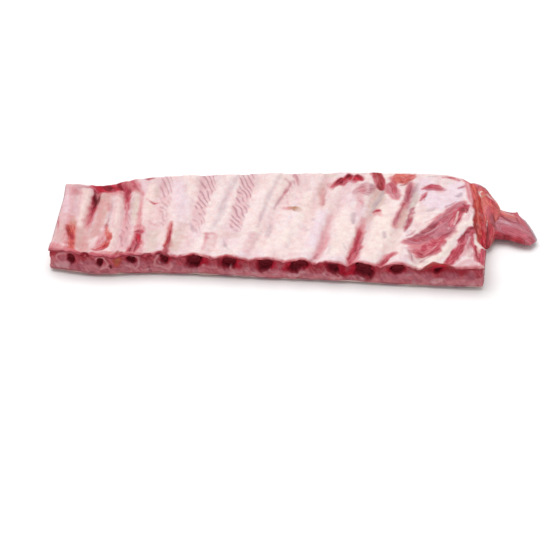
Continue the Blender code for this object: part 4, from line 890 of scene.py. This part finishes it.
def meatWall(rib, across, top, level, rimLooks):
    # from the membrane's rolled edge down over sawn muscle to the fat; the muscle bulges between the ribs, and
    # each rib's end sits in a pit that hugs the edge. A crimson band of painted shade runs under the rolled edge, and
    # each pit is painted dark: its blood and marrow together with painted shade of the recess
    x, y = top[:, 0], top[:, 1]
    normal = outwards(top[:, :2])
    bottom = underside(rib, across) + fatDepth(rib, across) + 0.0003
    z = top[:, 2] + (bottom - top[:, 2]) * level
    down = top[:, 2] - z
    length = x + y
    rolled = slab["lip"] * bump(0.05, 0.035, level)
    retreat = slab["retreat"] * smooth(0.06, 0.14, level) * (1 - 0.6 * smooth(0.16, 0.6, level))
    out = rolled - retreat + rack["meatSlope"] * level**2
    out = out + 0.0009 * roughly(length, z * 1.5, 0.009, 51) * smooth(0.08, 0.25, level) * (1 - smooth(0.9, 1, level))
    uneven = 0.30 * noise(length, z, 0.0060, 52) + 0.15 * noise(length, z, 0.0030, 53)
    core, halo, fresh, loop = (np.zeros(x.shape) for _ in range(4))
    for number, end in enumerate(ends):
        index, atBack = divmod(number, 2)
        wide, tall, step, under, narrow, leftBlood, rightBlood = slab["pits"][(5 * index + 4) % 12 if atBack else index]
        far = 9 * (abs(y - end[1]) > 0.012)
        u = (x - end[0] - 0.001 * step) / (0.0005 * wide)
        v = (down - 0.001 * under) / (0.0005 * tall) - 1
        u = u + narrow * 0.45 * np.clip(v + 0.4, 0, 2)
        near = np.where(v < 0, (abs(u) ** 3 + abs(v) ** 3) ** (1 / 3), np.hypot(u, v * (1 + 0.3 * abs(u)))) + far + uneven
        core = np.maximum(core, 1 - smooth(0.60, 1.0, near))
        halo = np.maximum(halo, 1 - smooth(0.90, 1.30, near))
        sided = np.where(u > 0, rightBlood, leftBlood) * smooth(0.3, 0.8, abs(u)) * (1 - smooth(0.2, 0.9, v))
        fresh = np.maximum(fresh, sided * (1 - smooth(1.05, 1.85, near)))
    for index, right, below, halfWidth, halfHeight, opening in slab["loops"]:
        end = ends[2 * index]
        u = (x - end[0] - 0.001 * right) / (0.001 * halfWidth)
        v = (down - 0.001 * below) / (0.001 * halfHeight)
        turn = np.arctan2(-v, u) - math.radians(opening)
        ring = bump(1.0 + 0.08 * np.sin(3 * turn), 0.16, np.hypot(u, v) + 9 * (abs(y - end[1]) > 0.012) + 0.3 * uneven)
        loop = np.maximum(loop, ring * smooth(-0.95, -0.2, -np.cos(turn)) * (1 - smooth(0.3, 0.8, core)))
    out = out - slab["bonePit"] * core + 0.0009 * loop
    points = np.stack([x + normal[:, 0] * out, y + normal[:, 1] * out, z], 1)
    looks = {key: value.copy() for key, value in rimLooks.items()}
    looks["lines"] *= 0
    looks["grain"] = np.stack([0.5 * length + 0.3 * z, 2.0 * z, 0 * z + 0.37], 1)
    below = smooth(0.015, 0.055, level + 0.012 * noise(length, z, 0.006, 53))
    lay(looks, "blush", 0.6 * (1 - below) * (1 - smooth(11.6, 11.9, rib)))
    lay(looks, "cutFlesh", below)
    lay(looks, "cutBlood", below * 0.8 * smooth(-0.3, 0.7, noise(length, z, 0.011, 54) + 0.75 - 2.4 * level))
    lay(looks, "mauve", below * 0.7 * smooth(0.20, 0.75, level + 0.30 * noise(length, z, 0.008, 55)))
    lay(looks, "blush", below * 0.7 * smooth(0.50, 1.0, level + 0.35 * noise(length, z, 0.006, 56)))
    lay(looks, "pinkish", below * 0.5 * smooth(0.35, 0.8, noise(length, z * 2, 0.007, 59)) * smooth(0.3, 0.6, level))
    seam = bump(0.66 + 0.10 * noise(length, z * 0, 0.02, 57), 0.035, level) * smooth(-0.3, 0.5, noise(length, 0 * z, 0.013, 58))
    lay(looks, "flesh", below * 0.6 * seam)
    marble(looks, 0.7 * below)
    # painted shade: a dark crimson band just under the membrane's rolled edge, where the muscle shrinks back
    lay(looks, "crimson", 0.5 * bump(0.070, 0.040, level) * smooth(-0.5, 0.4, noise(length, 0 * z, 0.009, 60)))
    # each pit: dark crimson round it and near-black in its middle, its blood deepened into painted shade of the recess
    lay(looks, "crimson", below * halo * 0.9)
    lay(looks, "blood", below * fresh)
    lay(looks, "clot", below * smooth(0.30, 0.9, core) * (0.74 + 0.24 * noise(length, z, 0.004, 61)))
    lay(looks, "blush", below * 0.9 * loop)
    lay(looks, "pinkish", below * 0.25 * loop)
    # a bruise of brown fat between the second and third ribs, with a dark spot on its left
    bruise = np.hypot((rib - 1.52) / 0.19, (down - 0.0055) / 0.0054) + uneven + 9 * (across > 0.5)
    lay(looks, "marrow", below * 0.9 * (1 - smooth(0.7, 1.2, bruise)))
    lay(looks, "tan", below * 0.45 * (1 - smooth(0.3, 0.9, bruise)))
    spot = np.hypot((rib - 1.29) / 0.07, (down - 0.0105) / 0.0030) + uneven + 9 * (across > 0.5)
    lay(looks, "clot", below * 0.9 * (1 - smooth(0.6, 1.1, spot)))
    # where the skirt joins, the wall is orange-red like it
    lay(looks, "marrow", 0.6 * below * smooth(11.9, 12.1, rib) * smooth(0.3, 0.5, across) * (1 - smooth(0.3, 0.9, level)))
    looks["bare"] *= 0.6  # sawn across its fibres, so hardly streaked
    return points, looks


def meatCap(rib, across):
    x, y = plan(rib, across)
    z = underside(rib, across) + fatDepth(rib, across) + 0.0003
    return np.stack([x, y, z], 1), blank(x.size, "flesh")


points, quads, fans, looks = layer(
    slab["columns"], slab["rows"], np.linspace(0, 1, slab["levels"] + 1)[1:], meatSheet, meatWall, meatCap
)
makePiece("rack_meat", points, quads, fans, meatMaterial, ["meat"], looks)


# The fat over the rack's outer side, which lies on the table
fatMaterial = porkMaterial("outer pork fat", 0.05)
fatCover = {"columns": 260, "rows": 90, "levels": 6}


def fatSheet(rib, across):
    # the outer side: mostly fat, a little uneven off the table, with muscle showing in streaks
    x, y = plan(rib, across)
    lifted = smooth(0.0, 0.003, underside(rib, across))
    rough = 0.0006 * lifted * (1 + roughly(x, y, 0.012, 71)) / 2 + 0.0002 * (1 + noise(x, y, 0.02, 73))
    z = np.maximum(underside(rib, across) + rough, 0)
    looks = blank(x.size, "cream")
    looks["grain"] = np.stack([y, x, 0 * x], 1)
    lay(looks, "beige", 0.7 * smooth(-0.4, 0.8, roughly(x, y, 0.02, 74)))
    lay(looks, "mauve", 0.8 * smooth(0.1, 0.7, roughly(x * 0.5, y, 0.016, 75)))
    lay(looks, "flesh", 0.7 * smooth(0.5, 0.9, roughly(x * 0.5, y, 0.016, 75)))
    inset = rack["fatUndercut"] - rack["meatSlope"]
    shrunkRib = rib * (1 - 2 * inset / 0.43) + 2 * inset / 0.43 * 5.75
    shrunkAcross = 0.5 + (across - 0.5) * (1 - 2 * inset / 0.15)
    px, py = plan(shrunkRib, shrunkAcross)
    return np.stack([px, py, z], 1), looks


def fatWall(rib, across, rimPoints, level, rimLooks):
    # bulging out and up from the table to the meat
    x, y = rimPoints[:, 0], rimPoints[:, 1]
    normal = outwards(rimPoints[:, :2])
    top = underside(rib, across) + fatDepth(rib, across)
    z = rimPoints[:, 2] + (top - rimPoints[:, 2]) * level
    out = 0.0038 * np.sin(np.pi / 2 * np.minimum(level * 1.15, 1)) + 0.0006 * noise(x + y, z, 0.006, 81)
    points = np.stack([x + normal[:, 0] * out, y + normal[:, 1] * out, z], 1)
    looks = blank(x.size, "beige")
    looks["grain"] = np.stack([z, x + y, 0 * z], 1)
    lay(looks, "mauve", smooth(-0.3, 0.5, noise(x + y, z, 0.010, 83)))
    lay(looks, "rose", 0.7 * smooth(0.1, 0.8, noise(x + y, z, 0.013, 84)))
    lay(looks, "cream", 0.7 * smooth(0.2, 0.8, noise(x + y, z, 0.008, 85)))
    return points, looks


def fatCap(rib, across):
    x, y = plan(rib, across)
    z = underside(rib, across) + fatDepth(rib, across)
    return np.stack([x, y, z], 1), blank(x.size, "cream")


points, quads, fans, looks = layer(
    fatCover["columns"], fatCover["rows"], np.linspace(0, 1, fatCover["levels"] + 1)[1:], fatSheet, fatWall, fatCap,
    (0.9, 0.6, 0.3),
)
makePiece("rack_fat_cover", points, quads, fans, fatMaterial, ["fat_cover"], looks)

# Rib bones: reddened outside, with almost black marrow where they are sawn
boneMaterial = newMaterial("sawn rib bone")
tree = boneMaterial.node_tree
shader = tree.nodes["Principled BSDF"]
place = add(tree, "TexCoord").outputs["Object"]
pores = add(tree, "TexNoise", Vector=place, Scale=700.0, Detail=3.0).outputs["Fac"]
poresRange = add(tree, "MapRange", Value=pores, From_Min=0.3, From_Max=0.7).outputs[0]
wall = add(tree, "Mix", {"data_type": "RGBA"}, Factor=poresRange, A=linear("#6a111c"), B=linear("#86202b")).outputs[2]
marrowColour = add(tree, "Mix", {"data_type": "RGBA"}, Factor=poresRange, A=linear("#56101a"), B=linear("#7e1a26")).outputs[2]
marrow = add(tree, "Attribute", {"attribute_name": "marrow"}).outputs["Fac"]
mixed = add(tree, "Mix", {"data_type": "RGBA"}, Factor=marrow, A=wall, B=marrowColour).outputs[2]
tree.links.new(mixed, shader.inputs["Base Color"])
shader.inputs["Roughness"].default_value = 0.5
shader.inputs["Specular IOR Level"].default_value = 0.15
shader.inputs["Specular Tint"].default_value = linear("#e89a9a")
shader.inputs["Coat Weight"].default_value = 0.02
shader.inputs["Coat Roughness"].default_value = 0.15
poreBump = add(tree, "Bump", Strength=0.5, Distance=0.0004, Height=pores).outputs[0]
tree.links.new(poreBump, shader.inputs["Normal"])

bone = {"around": 36, "lengths": 24, "halfWidth": 0.0060, "halfThickness": 0.0043, "wall": 0.84, "marrowDepth": 0.0016, "recess": 0.0034}


def makeBone(index):
    # an oval tube from one end of the solid's rib to the other, whose sawn ends dish in from rim to marrow
    front, back = ends[2 * index], ends[2 * index + 1]
    s = np.linspace(0, 1, bone["lengths"])
    across = (front[1] + (back[1] - front[1]) * s - originY) / rackWidth(np.array(float(index)))
    lift = bed(np.array(float(index)), np.clip(across, 0, 1))
    centre = np.stack([
        front[0] + (back[0] - front[0]) * s,
        front[1] + bone["recess"] + (back[1] - front[1] - 2 * bone["recess"]) * s,
        front[2] - lift[0] + lift + (back[2] - lift[-1] - front[2] + lift[0]) * s,
    ], 1)
    angle = np.linspace(0, 2 * np.pi, bone["around"], endpoint=False)
    ring = np.stack([bone["halfWidth"] * np.cos(angle), 0 * angle, bone["halfThickness"] * np.sin(angle)], 1)
    ring = ring * (1 + 0.05 * np.sin(2 * angle + index))[:, None]
    body = centre[:, None] + ring[None]
    # the sawn face: rim, inner edge of the bone's wall, then marrow
    rim, deep = bone["wall"], bone["marrowDepth"]
    steps = [(0.97, -0.0003), (rim, -0.0004), (rim - 0.05, -deep), (0.5, -deep - 0.0003), (0.2, -deep)]
    frontFace = [centre[0] + ring * size - np.array([0, out, 0]) for size, out in steps[::-1]]
    backFace = [centre[-1] + ring * size + np.array([0, out, 0]) for size, out in steps]
    rings = np.concatenate([np.array(frontFace), body, np.array(backFace)])
    points, quads, fans = closedTube(rings)
    faceMarrow = np.array([1.0, 1.0, 1.0, 0.35, 0.0])
    perRing = np.concatenate([faceMarrow, np.zeros(bone["lengths"]), faceMarrow[::-1]])
    marrow = np.concatenate([np.repeat(perRing, bone["around"]), [1.0, 1.0]])
    makePiece(f"rib_bone_{index + 1:02d}", points, quads, fans, boneMaterial, [ribNames[index]], {"marrow": marrow})


for index in range(rack["ribCount"]):
    makeBone(index)

# The skirt, loose at the right end
skirtMaterial = porkMaterial("raw skirt muscle", 0.12, 0.3)


def strap(path, halfWidths, halfDepths, around, lengths, seed, furrows=0.0):
    # an uneven oval tube along a path: its width lies level, square to the path, with furrows along its fibres
    centre = curve(path, lengths)
    place = np.linspace(0, 1, lengths)
    wide, deep = along(halfWidths, place), along(halfDepths, place)
    heading = np.gradient(centre[:, :2], axis=0)
    heading /= np.linalg.norm(heading, axis=1)[:, None]
    sideways = np.stack([heading[:, 1], -heading[:, 0], 0 * heading[:, 0]], 1)
    angle = np.linspace(0, 2 * np.pi, around, endpoint=False)
    rows, columns = np.meshgrid(place, angle, indexing="ij")
    uneven = 1 + 0.10 * noise(rows * 4, np.cos(columns) * 1.2 + 3, 1.0, seed)
    uneven = uneven + furrows * np.cos(7 * columns + 2 * noise(rows * 3, columns * 0, 1.0, seed + 1))
    across = wide[:, None] * np.cos(columns) * uneven
    up = deep[:, None] * np.sin(columns) * uneven
    rings = centre[:, None] + sideways[:, None] * across[..., None] + np.array([0, 0, 1.0]) * up[..., None]
    rings[..., 2] = np.maximum(rings[..., 2], 0.0003)
    return rings, rows, columns


skirtLow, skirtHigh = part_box("skirt_tail")


def onSkirt(right, behind):
    # a place in mm from the near left corner of the skirt's solid
    return skirtLow.x + 0.001 * right, skirtLow.y + 0.001 * behind


def skirtLooks(points, base, strokes, seed):
    # the looks of a skirt piece, and its points raised by the strokes on the upper side
    x, y = points[:, 0], points[:, 1]
    looks = blank(len(points), base)
    looks["grain"] = np.stack([0.8 * x - 0.6 * y, 0.6 * x + 0.8 * y, 0 * x], 1)
    lay(looks, "salmon", 0.6 * smooth(0.0, 0.7, roughly(x, y, 0.010, seed)))
    lay(looks, "blood", 0.6 * smooth(0.1, 0.8, roughly(x, y, 0.012, seed + 3)))
    height = np.zeros(len(points))
    draw(strokes, x, y, looks, height, toWorld=onSkirt)
    marble(looks, 0.7 * looks["bare"])
    lay(looks, "pinkish", np.full(len(points), 0.10))
    furrow = noise(looks["grain"][:, 0], looks["grain"][:, 1] / 6, 0.0018, seed + 6)
    return looks, height + 0.0004 * furrow


skirtRoot = {
    "path": [(-6, 82, 20.0), (0, 71, 20.5), (5, 56, 18.5), (9, 38, 16.5), (8, 18, 13), (7, 3, 10), (5, -10, 7)],
    "halfWidths": (5, 9.5, 11, 12, 10.5, 7.5, 3),
    "halfDepths": (3, 5, 7.5, 8.5, 8, 5, 2.5),
    "strokes": [
        ("rose", [(0, 86), (6, 76), (9, 65)], (8, 10, 7), 4, (1, 1, 0.8), 0.4),
        ("mauve", [(2, 82), (7, 74), (9, 67)], (3.0, 4.0, 2.6), 3.4, (0.5, 0.6, 0.4), 0.1),
        ("flesh", [(2, 84), (8, 76), (10, 68)], (2.5, 3.5, 2.0), 3, (0.9, 0.8, 0.5), 0.0),
        ("marrow", [(6, 64), (12, 54), (15, 44)], (7, 8, 6), 4, (0.6, 0.75, 0.8), 0.3),
        ("blood", [(8, 58), (13, 50), (14, 40)], (2.5, 5, 3), 3, (0.7, 1, 0.8), 0.1),
        ("salmon", [(16, 56), (18, 47), (19, 38)], (2.0, 2.4, 2.0), 2, (0.7, 0.9, 0.8), 0.3),
        ("tan", [(-6, 60), (-4, 50), (-3, 38), (-4, 26)], (1.6, 2.2, 2.0, 1.2), 2, (0.7, 0.8, 0.7, 0.4), 0.2),
        ("cream", [(-6, 50), (-2, 56), (3, 62)], (1.0, 1.8, 0.9), 1.6, (0.7, 0.95, 0.7), 0.5),
        ("cream", [(8, 57), (12, 50), (18, 46)], (0.6, 1.0, 0.6), 1.6, (0.5, 0.8, 0.5), 0.4),
        ("tan", [(0, 48), (4, 54), (9, 57)], (1.2, 1.8, 1.0), 2, 0.6, 0.1),
        ("blush", [(2, 42), (5, 30), (6, 18)], (1.2, 2.0, 1.4), 2.4, (0.5, 0.7, 0.5), 0.2),
        ("salmon", [(0, 46), (4, 38), (6, 28)], (2.5, 3.0, 2.0), 3, (0.7, 0.8, 0.5), 0.1),
        # painted shadow: dark brown on the root's left flank, where it meets the rack
        ("rust", [(-4, 44), (-3, 26), (-2, 6)], (3.0, 4.0, 4.0), 3, (0.8, 1, 1), -0.8),
        ("rose", [(8, 34), (8, 24), (7, 12)], (3, 5, 4), 3.4, (0.5, 0.8, 0.7), 0.0),
        ("marrow", [(6, 20), (7, 11), (6, 2)], (4, 5, 4), 3, (0.6, 0.8, 0.8), 0.0),
        ("dusk", [(11, 24), (13, 14)], (2.5, 3.0), 3, 0.8, -0.3),
        ("blood", [(8, 8), (8, -6), (6, -18), (4, -28)], (6, 6, 5, 3), 3, 1.0, 0.2),
        ("crimson", [(2, 2), (3, -10), (2, -22)], (1.2, 1.6, 1.2), 2, (0.6, 0.8, 0.8), -0.2),
        ("salmon", [(11, -2), (10, -12), (7, -20)], (0.8, 1.2, 0.8), 1.6, 0.7, 0.2),
    ],
}
rings, rows, columns = strap(
    [(skirtLow.x + 0.001 * right, skirtLow.y + 0.001 * behind, 0.001 * up) for right, behind, up in skirtRoot["path"]],
    0.001 * np.array(skirtRoot["halfWidths"]), 0.001 * np.array(skirtRoot["halfDepths"]), 72, 130, 91, 0.03,
)
points, quads, fans = closedTube(rings)
looks, raised = skirtLooks(points, "salmon", skirtRoot["strokes"], 101)
points[:, 2] += raised * np.concatenate([np.sin(columns).ravel() > 0.2, [0, 0]])
makePiece("skirt_root", points, quads, fans, skirtMaterial, [], looks)

# the lobe that hangs from it: a flap between two edges, thick at its root and torn thin at its tip
skirtLobe = {
    "backEdge": [(4, 60), (13, 56), (20.5, 49), (29, 47), (37.5, 46), (40.5, 49), (43, 43), (48.5, 36), (53.5, 23), (57.5, 9)],
    "frontEdge": [(3, 4), (9, 3), (17.5, 4.5), (27, 3.5), (35, 0.5), (38, -1.2), (41, -2.6), (45, -3.5), (51, -1.0), (57, 6.0)],
    "topHeights": (19, 19.5, 18.5, 17, 16, 15, 14, 12.5, 10, 6.5),
    "depths": (9, 9, 8.5, 7.5, 6.5, 6, 5.5, 4.8, 3.2, 0.8),
    "strokes": [
        ("mauve", [(16, 18), (30, 16), (46, 10), (54, 6)], (13, 15, 15, 8), 5, 0.95, 0.0),
        ("rose", [(24, 10), (40, 4), (50, 2)], (5, 6, 4), 5, (0.7, 0.7, 0.6), 0.4),
        # painted highlight: a pale lilac streak along the top of the lobe
        ("lilac", [(20, 21), (26, 19.5), (32, 17)], (1.2, 2.4, 1.2), 4, (0.25, 0.4, 0.2), 0.6),
        ("blush", [(14, 27), (19, 30)], (1.4, 1.0), 2, 0.6, 0.5),
        ("blush", [(34, 16), (44, 12), (50, 8)], (1.4, 1.8, 1.0), 3, (0.3, 0.6, 0.4), 0.5),
        ("marrow", [(10, 58), (15, 50), (18, 42)], (6, 7, 5), 4, 1.0, 0.4),
        ("salmon", [(15, 50), (19, 40), (26, 34), (35, 31), (42, 25)], (4.0, 4.6, 4.6, 4.0, 1.6), 3, (0.9, 1, 1, 0.9, 0.5), 1.3),
        ("blush", [(21, 38.5), (30, 34), (38, 30)], (1.6, 2.2, 1.4), 2.4, (0.6, 0.8, 0.5), 0.4),
        ("beige", [(24, 37), (31, 34), (36, 31.5)], (0.8, 1.2, 0.8), 1.8, (0.5, 0.7, 0.4), 0.3),
        ("crimson", [(22, 30), (30, 25), (39, 22)], (1.2, 1.8, 1.0), 2, (0.7, 0.9, 0.5), -0.8),
        ("rose", [(38, 36), (44, 26), (50, 16)], (4, 4, 3), 4, 0.8, 0.2),
        ("blood", [(10, 6), (18, 3), (28, 0), (40, -3)], (6, 4.2, 3.6, 3.0), 2.4, (1, 1, 1, 0.8), -0.4),
        ("crimson", [(15, 2), (28, -2), (40, -5)], (1.0, 1.6, 1.0), 1.8, (0.7, 0.9, 0.6), -0.2),
        ("dusk", [(12, 16), (14, 9)], (3.0, 3.0), 3, 0.7, -0.5),
        ("grey", [(41, 41), (47.5, 30), (53, 17.5), (57.5, 4)], (0.9, 1.6, 1.8, 1.8), 1.6, (0.7, 0.8, 0.9, 0.9), -0.2),
        ("dusk", [(45, 31), (51, 17), (55, 8)], (0.8, 0.9, 0.8), 1.4, (0.4, 0.7, 0.6), -0.2),
    ],
}


def flap(spec, around, lengths):
    # rings between the two edges: each goes from edge to edge over the top and back under it, its thickness an
    # ellipse's, and the outline wanders a little
    back = curve([(right, behind) for right, behind in spec["backEdge"]], lengths)
    front = curve([(right, behind) for right, behind in spec["frontEdge"]], lengths)
    place = np.linspace(0, 1, lengths)
    angle = np.linspace(0, 2 * np.pi, around, endpoint=False)
    rows, columns = np.meshgrid(place, angle, indexing="ij")
    share = (1 - np.cos(columns)) / 2 + 0.02 * noise(rows * 9, 0 * rows, 1.0, 97) * np.cos(columns)
    flat = back[:, None] + (front - back)[:, None] * share[..., None]
    depth, top = along(spec["depths"], place)[:, None], along(spec["topHeights"], place)[:, None]
    up = top - depth + depth * np.sign(np.sin(columns)) * abs(np.sin(columns)) ** 0.75
    x, y = onSkirt(flat[..., 0], flat[..., 1])
    return np.stack([x, y, np.maximum(0.001 * up, 0.0003)], -1), rows, columns


rings, rows, columns = flap(skirtLobe, 110, 120)
points, quads, fans = closedTube(rings)
looks, raised = skirtLooks(points, "rose", skirtLobe["strokes"], 121)
points[:, 2] += raised * np.concatenate([np.clip(np.sin(columns).ravel() * 2, 0, 1), [0, 0]])
makePiece("skirt_lobe", points, quads, fans, skirtMaterial, ["skirt_tail"], looks)

# Floor, light and camera
floorMesh = bpy.data.meshes.new("floor")
floorMesh.from_pydata([(-6, -6, 0), (6, -6, 0), (6, 6, 0), (-6, 6, 0)], [], [(0, 1, 2, 3)])
floor = bpy.data.objects.new("floor", floorMesh)
bpy.context.scene.collection.objects.link(floor)
floorMaterial = newMaterial("white painted table")
floorShader = floorMaterial.node_tree.nodes["Principled BSDF"]
floorShader.inputs["Base Color"].default_value = linear("#f7f7f7")
floorShader.inputs["Roughness"].default_value = 0.7
floorMesh.materials.append(floorMaterial)

world = bpy.data.worlds.new("studio")
bpy.context.scene.world = world
world.use_nodes = True
world.node_tree.nodes["Background"].inputs["Color"].default_value = (1, 1, 1, 1)
world.node_tree.nodes["Background"].inputs["Strength"].default_value = 0.62


def softbox(name, place, target, size, power):
    light = bpy.data.lights.new(name, "AREA")
    light.shape = "DISK"
    light.size = size
    light.energy = power
    holder = bpy.data.objects.new(name, light)
    holder.location = place
    holder.rotation_euler = (Vector(target) - Vector(place)).to_track_quat("-Z", "Y").to_euler()
    bpy.context.scene.collection.objects.link(holder)


softbox("top softbox", (-0.4, 0.55, 2.4), (0, 0, 0), 2.6, 48)

bpy.context.scene.view_settings.view_transform = "Standard"

# The camera looks down on the rack from the front, a little from its right
cameraAim = Vector((originX + 0.0003, originY + 0.007, 0.0))
azimuth, elevation, distance = math.radians(4.6), math.radians(38), 1.05
back = Vector((
    math.sin(azimuth) * math.cos(elevation),
    -math.cos(azimuth) * math.cos(elevation),
    math.sin(elevation),
))
camera = bpy.data.cameras.new("camera")
camera.lens = 70
camera.sensor_width = 36
holder = bpy.data.objects.new("camera", camera)
holder.location = cameraAim + back * distance
holder.rotation_euler = (-back).to_track_quat("-Z", "Y").to_euler()
bpy.context.scene.collection.objects.link(holder)
bpy.context.scene.camera = holder

bpy.context.view_layer.update()
